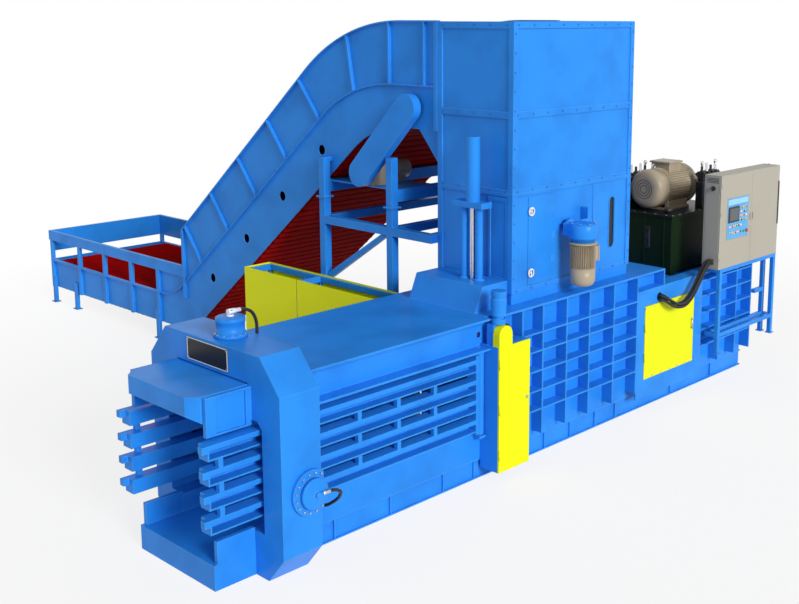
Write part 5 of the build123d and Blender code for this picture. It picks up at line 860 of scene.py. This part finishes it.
for x in (-1.29, 1.29):
    for y in FOOT_BOLT_YS:
        places.append(((x, y, FOOT_PLATE_TOP), (0, 0, 1)))
bolts("machine_bolts", places, "press", zinc_bolt, 0.011, 0.010)

# Lighter red strips on the belt's slats near their edges; the darker slat red left between them is painted
# shade at the slat joints
STRIP_INSET = 0.046
STRIP_LIFT = 0.002
SLAT_LENGTH_MIN = 2.0
SLAT_FOLD_MIN = math.radians(35)


def slat_edges():
    """The tips of the belt's slats: convex edges across the belt, with the long slope's direction and aim."""
    shape = bmesh.new()
    shape.from_mesh(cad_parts["slat_belt"].data)
    bmesh.ops.remove_doubles(shape, verts=shape.verts[:], dist=1e-5)
    bmesh.ops.dissolve_limit(shape, angle_limit=math.radians(0.5), verts=shape.verts[:], edges=shape.edges[:])
    found = []
    for edge in shape.edges:
        first, second = (v.co for v in edge.verts)
        if abs(first.x - second.x) < SLAT_LENGTH_MIN or len(edge.link_faces) != 2:
            continue
        if edge.calc_face_angle_signed(0) < SLAT_FOLD_MIN:
            continue
        long_face = max(edge.link_faces, key=lambda f: f.calc_area())
        middle = (first + second) / 2
        run = long_face.calc_center_median() - middle
        run.x = 0
        found.append((middle, run.normalized(), long_face.normal.copy()))
    shape.free()
    return found


strips = [(tip + STRIP_INSET * run + STRIP_LIFT * up, up) for tip, run, up in slat_edges()]
grown("slat_strips", strip_tree(), {"Strip finish": red_strip}, "press",
      aimed_points("slat_strip", strips))

# Camera at the photograph's place
eye = bpy.data.cameras.new("photo_camera")
eye.lens = 50.66
eye.sensor_width = 36
eye.shift_x = -0.0764
eye.shift_y = -0.1105
eye.clip_end = 200
camera = bpy.data.objects.new("photo_camera", eye)
camera.location = (-11.153, -9.140, 5.390)
camera.rotation_euler = (math.radians(90 - 9.925), math.radians(-0.07), math.radians(-46.717))
scene.collection.objects.link(camera)
scene.camera = camera

# Pale floor that fades to the white backdrop, soft key light from the tying unit's side
floor_paint = bpy.data.materials.new("studio_floor")
floor_paint.use_nodes = True
tree = floor_paint.node_tree
tree.nodes.clear()
output = new_node(tree, "ShaderNodeOutputMaterial")
mat = new_node(tree, "ShaderNodeBsdfDiffuse")
mat.inputs["Color"].default_value = (0.92, 0.92, 0.92, 1)
glow = new_node(tree, "ShaderNodeEmission")
place = new_node(tree, "ShaderNodeTexCoord")
reach = new_node(tree, "ShaderNodeVectorMath", operation="LENGTH")
far = new_node(tree, "ShaderNodeMapRange")
far.inputs["From Min"].default_value = 7.0
far.inputs["From Max"].default_value = 15.0
far.inputs["To Min"].default_value = 0.80
seen = new_node(tree, "ShaderNodeMath", operation="MULTIPLY")
blend = new_node(tree, "ShaderNodeMixShader")
link(tree, place.outputs["Object"], reach.inputs[0])
link(tree, reach.outputs["Value"], far.inputs["Value"])
link(tree, far.outputs["Result"], seen.inputs[0])
link(tree, plain_sight(tree), seen.inputs[1])
link(tree, seen.outputs[0], blend.inputs["Fac"])
link(tree, mat.outputs["BSDF"], blend.inputs[1])
link(tree, glow.outputs["Emission"], blend.inputs[2])
link(tree, blend.outputs["Shader"], output.inputs["Surface"])
floor_mesh = bpy.data.meshes.new("studio_floor")
FLOOR_HALF = 80
FLOOR_Z = -0.001
corners = [(x * FLOOR_HALF, y * FLOOR_HALF, FLOOR_Z) for x, y in ((-1, -1), (1, -1), (1, 1), (-1, 1))]
floor_mesh.from_pydata(corners, [], [(0, 1, 2, 3)])
floor_mesh.materials.append(floor_paint)
floor = bpy.data.objects.new("studio_floor", floor_mesh)
scene.collection.objects.link(floor)

world = bpy.data.worlds.new("studio")
world.use_nodes = True
tree = world.node_tree
back = tree.nodes["Background"]
back.inputs["Color"].default_value = (1, 1, 1, 1)
level = new_node(tree, "ShaderNodeMapRange")
level.inputs["To Min"].default_value = 0.36
link(tree, plain_sight(tree), level.inputs["Value"])
link(tree, level.outputs["Result"], back.inputs["Strength"])
scene.world = world


def sun(name, aim, strength, spread):
    """A soft, even lamp that shines along a direction."""
    lamp = bpy.data.lights.new(name, "SUN")
    lamp.energy = strength
    lamp.angle = math.radians(spread)
    thing = bpy.data.objects.new(name, lamp)
    thing.rotation_euler = Vector(aim).to_track_quat("-Z", "Y").to_euler()
    scene.collection.objects.link(thing)


sun("key", (0.20, 1.0, -0.40), 2.7, 20)
sun("fill", (1.0, 0.15, -0.40), 0.20, 50)
scene.view_settings.view_transform = "Standard"
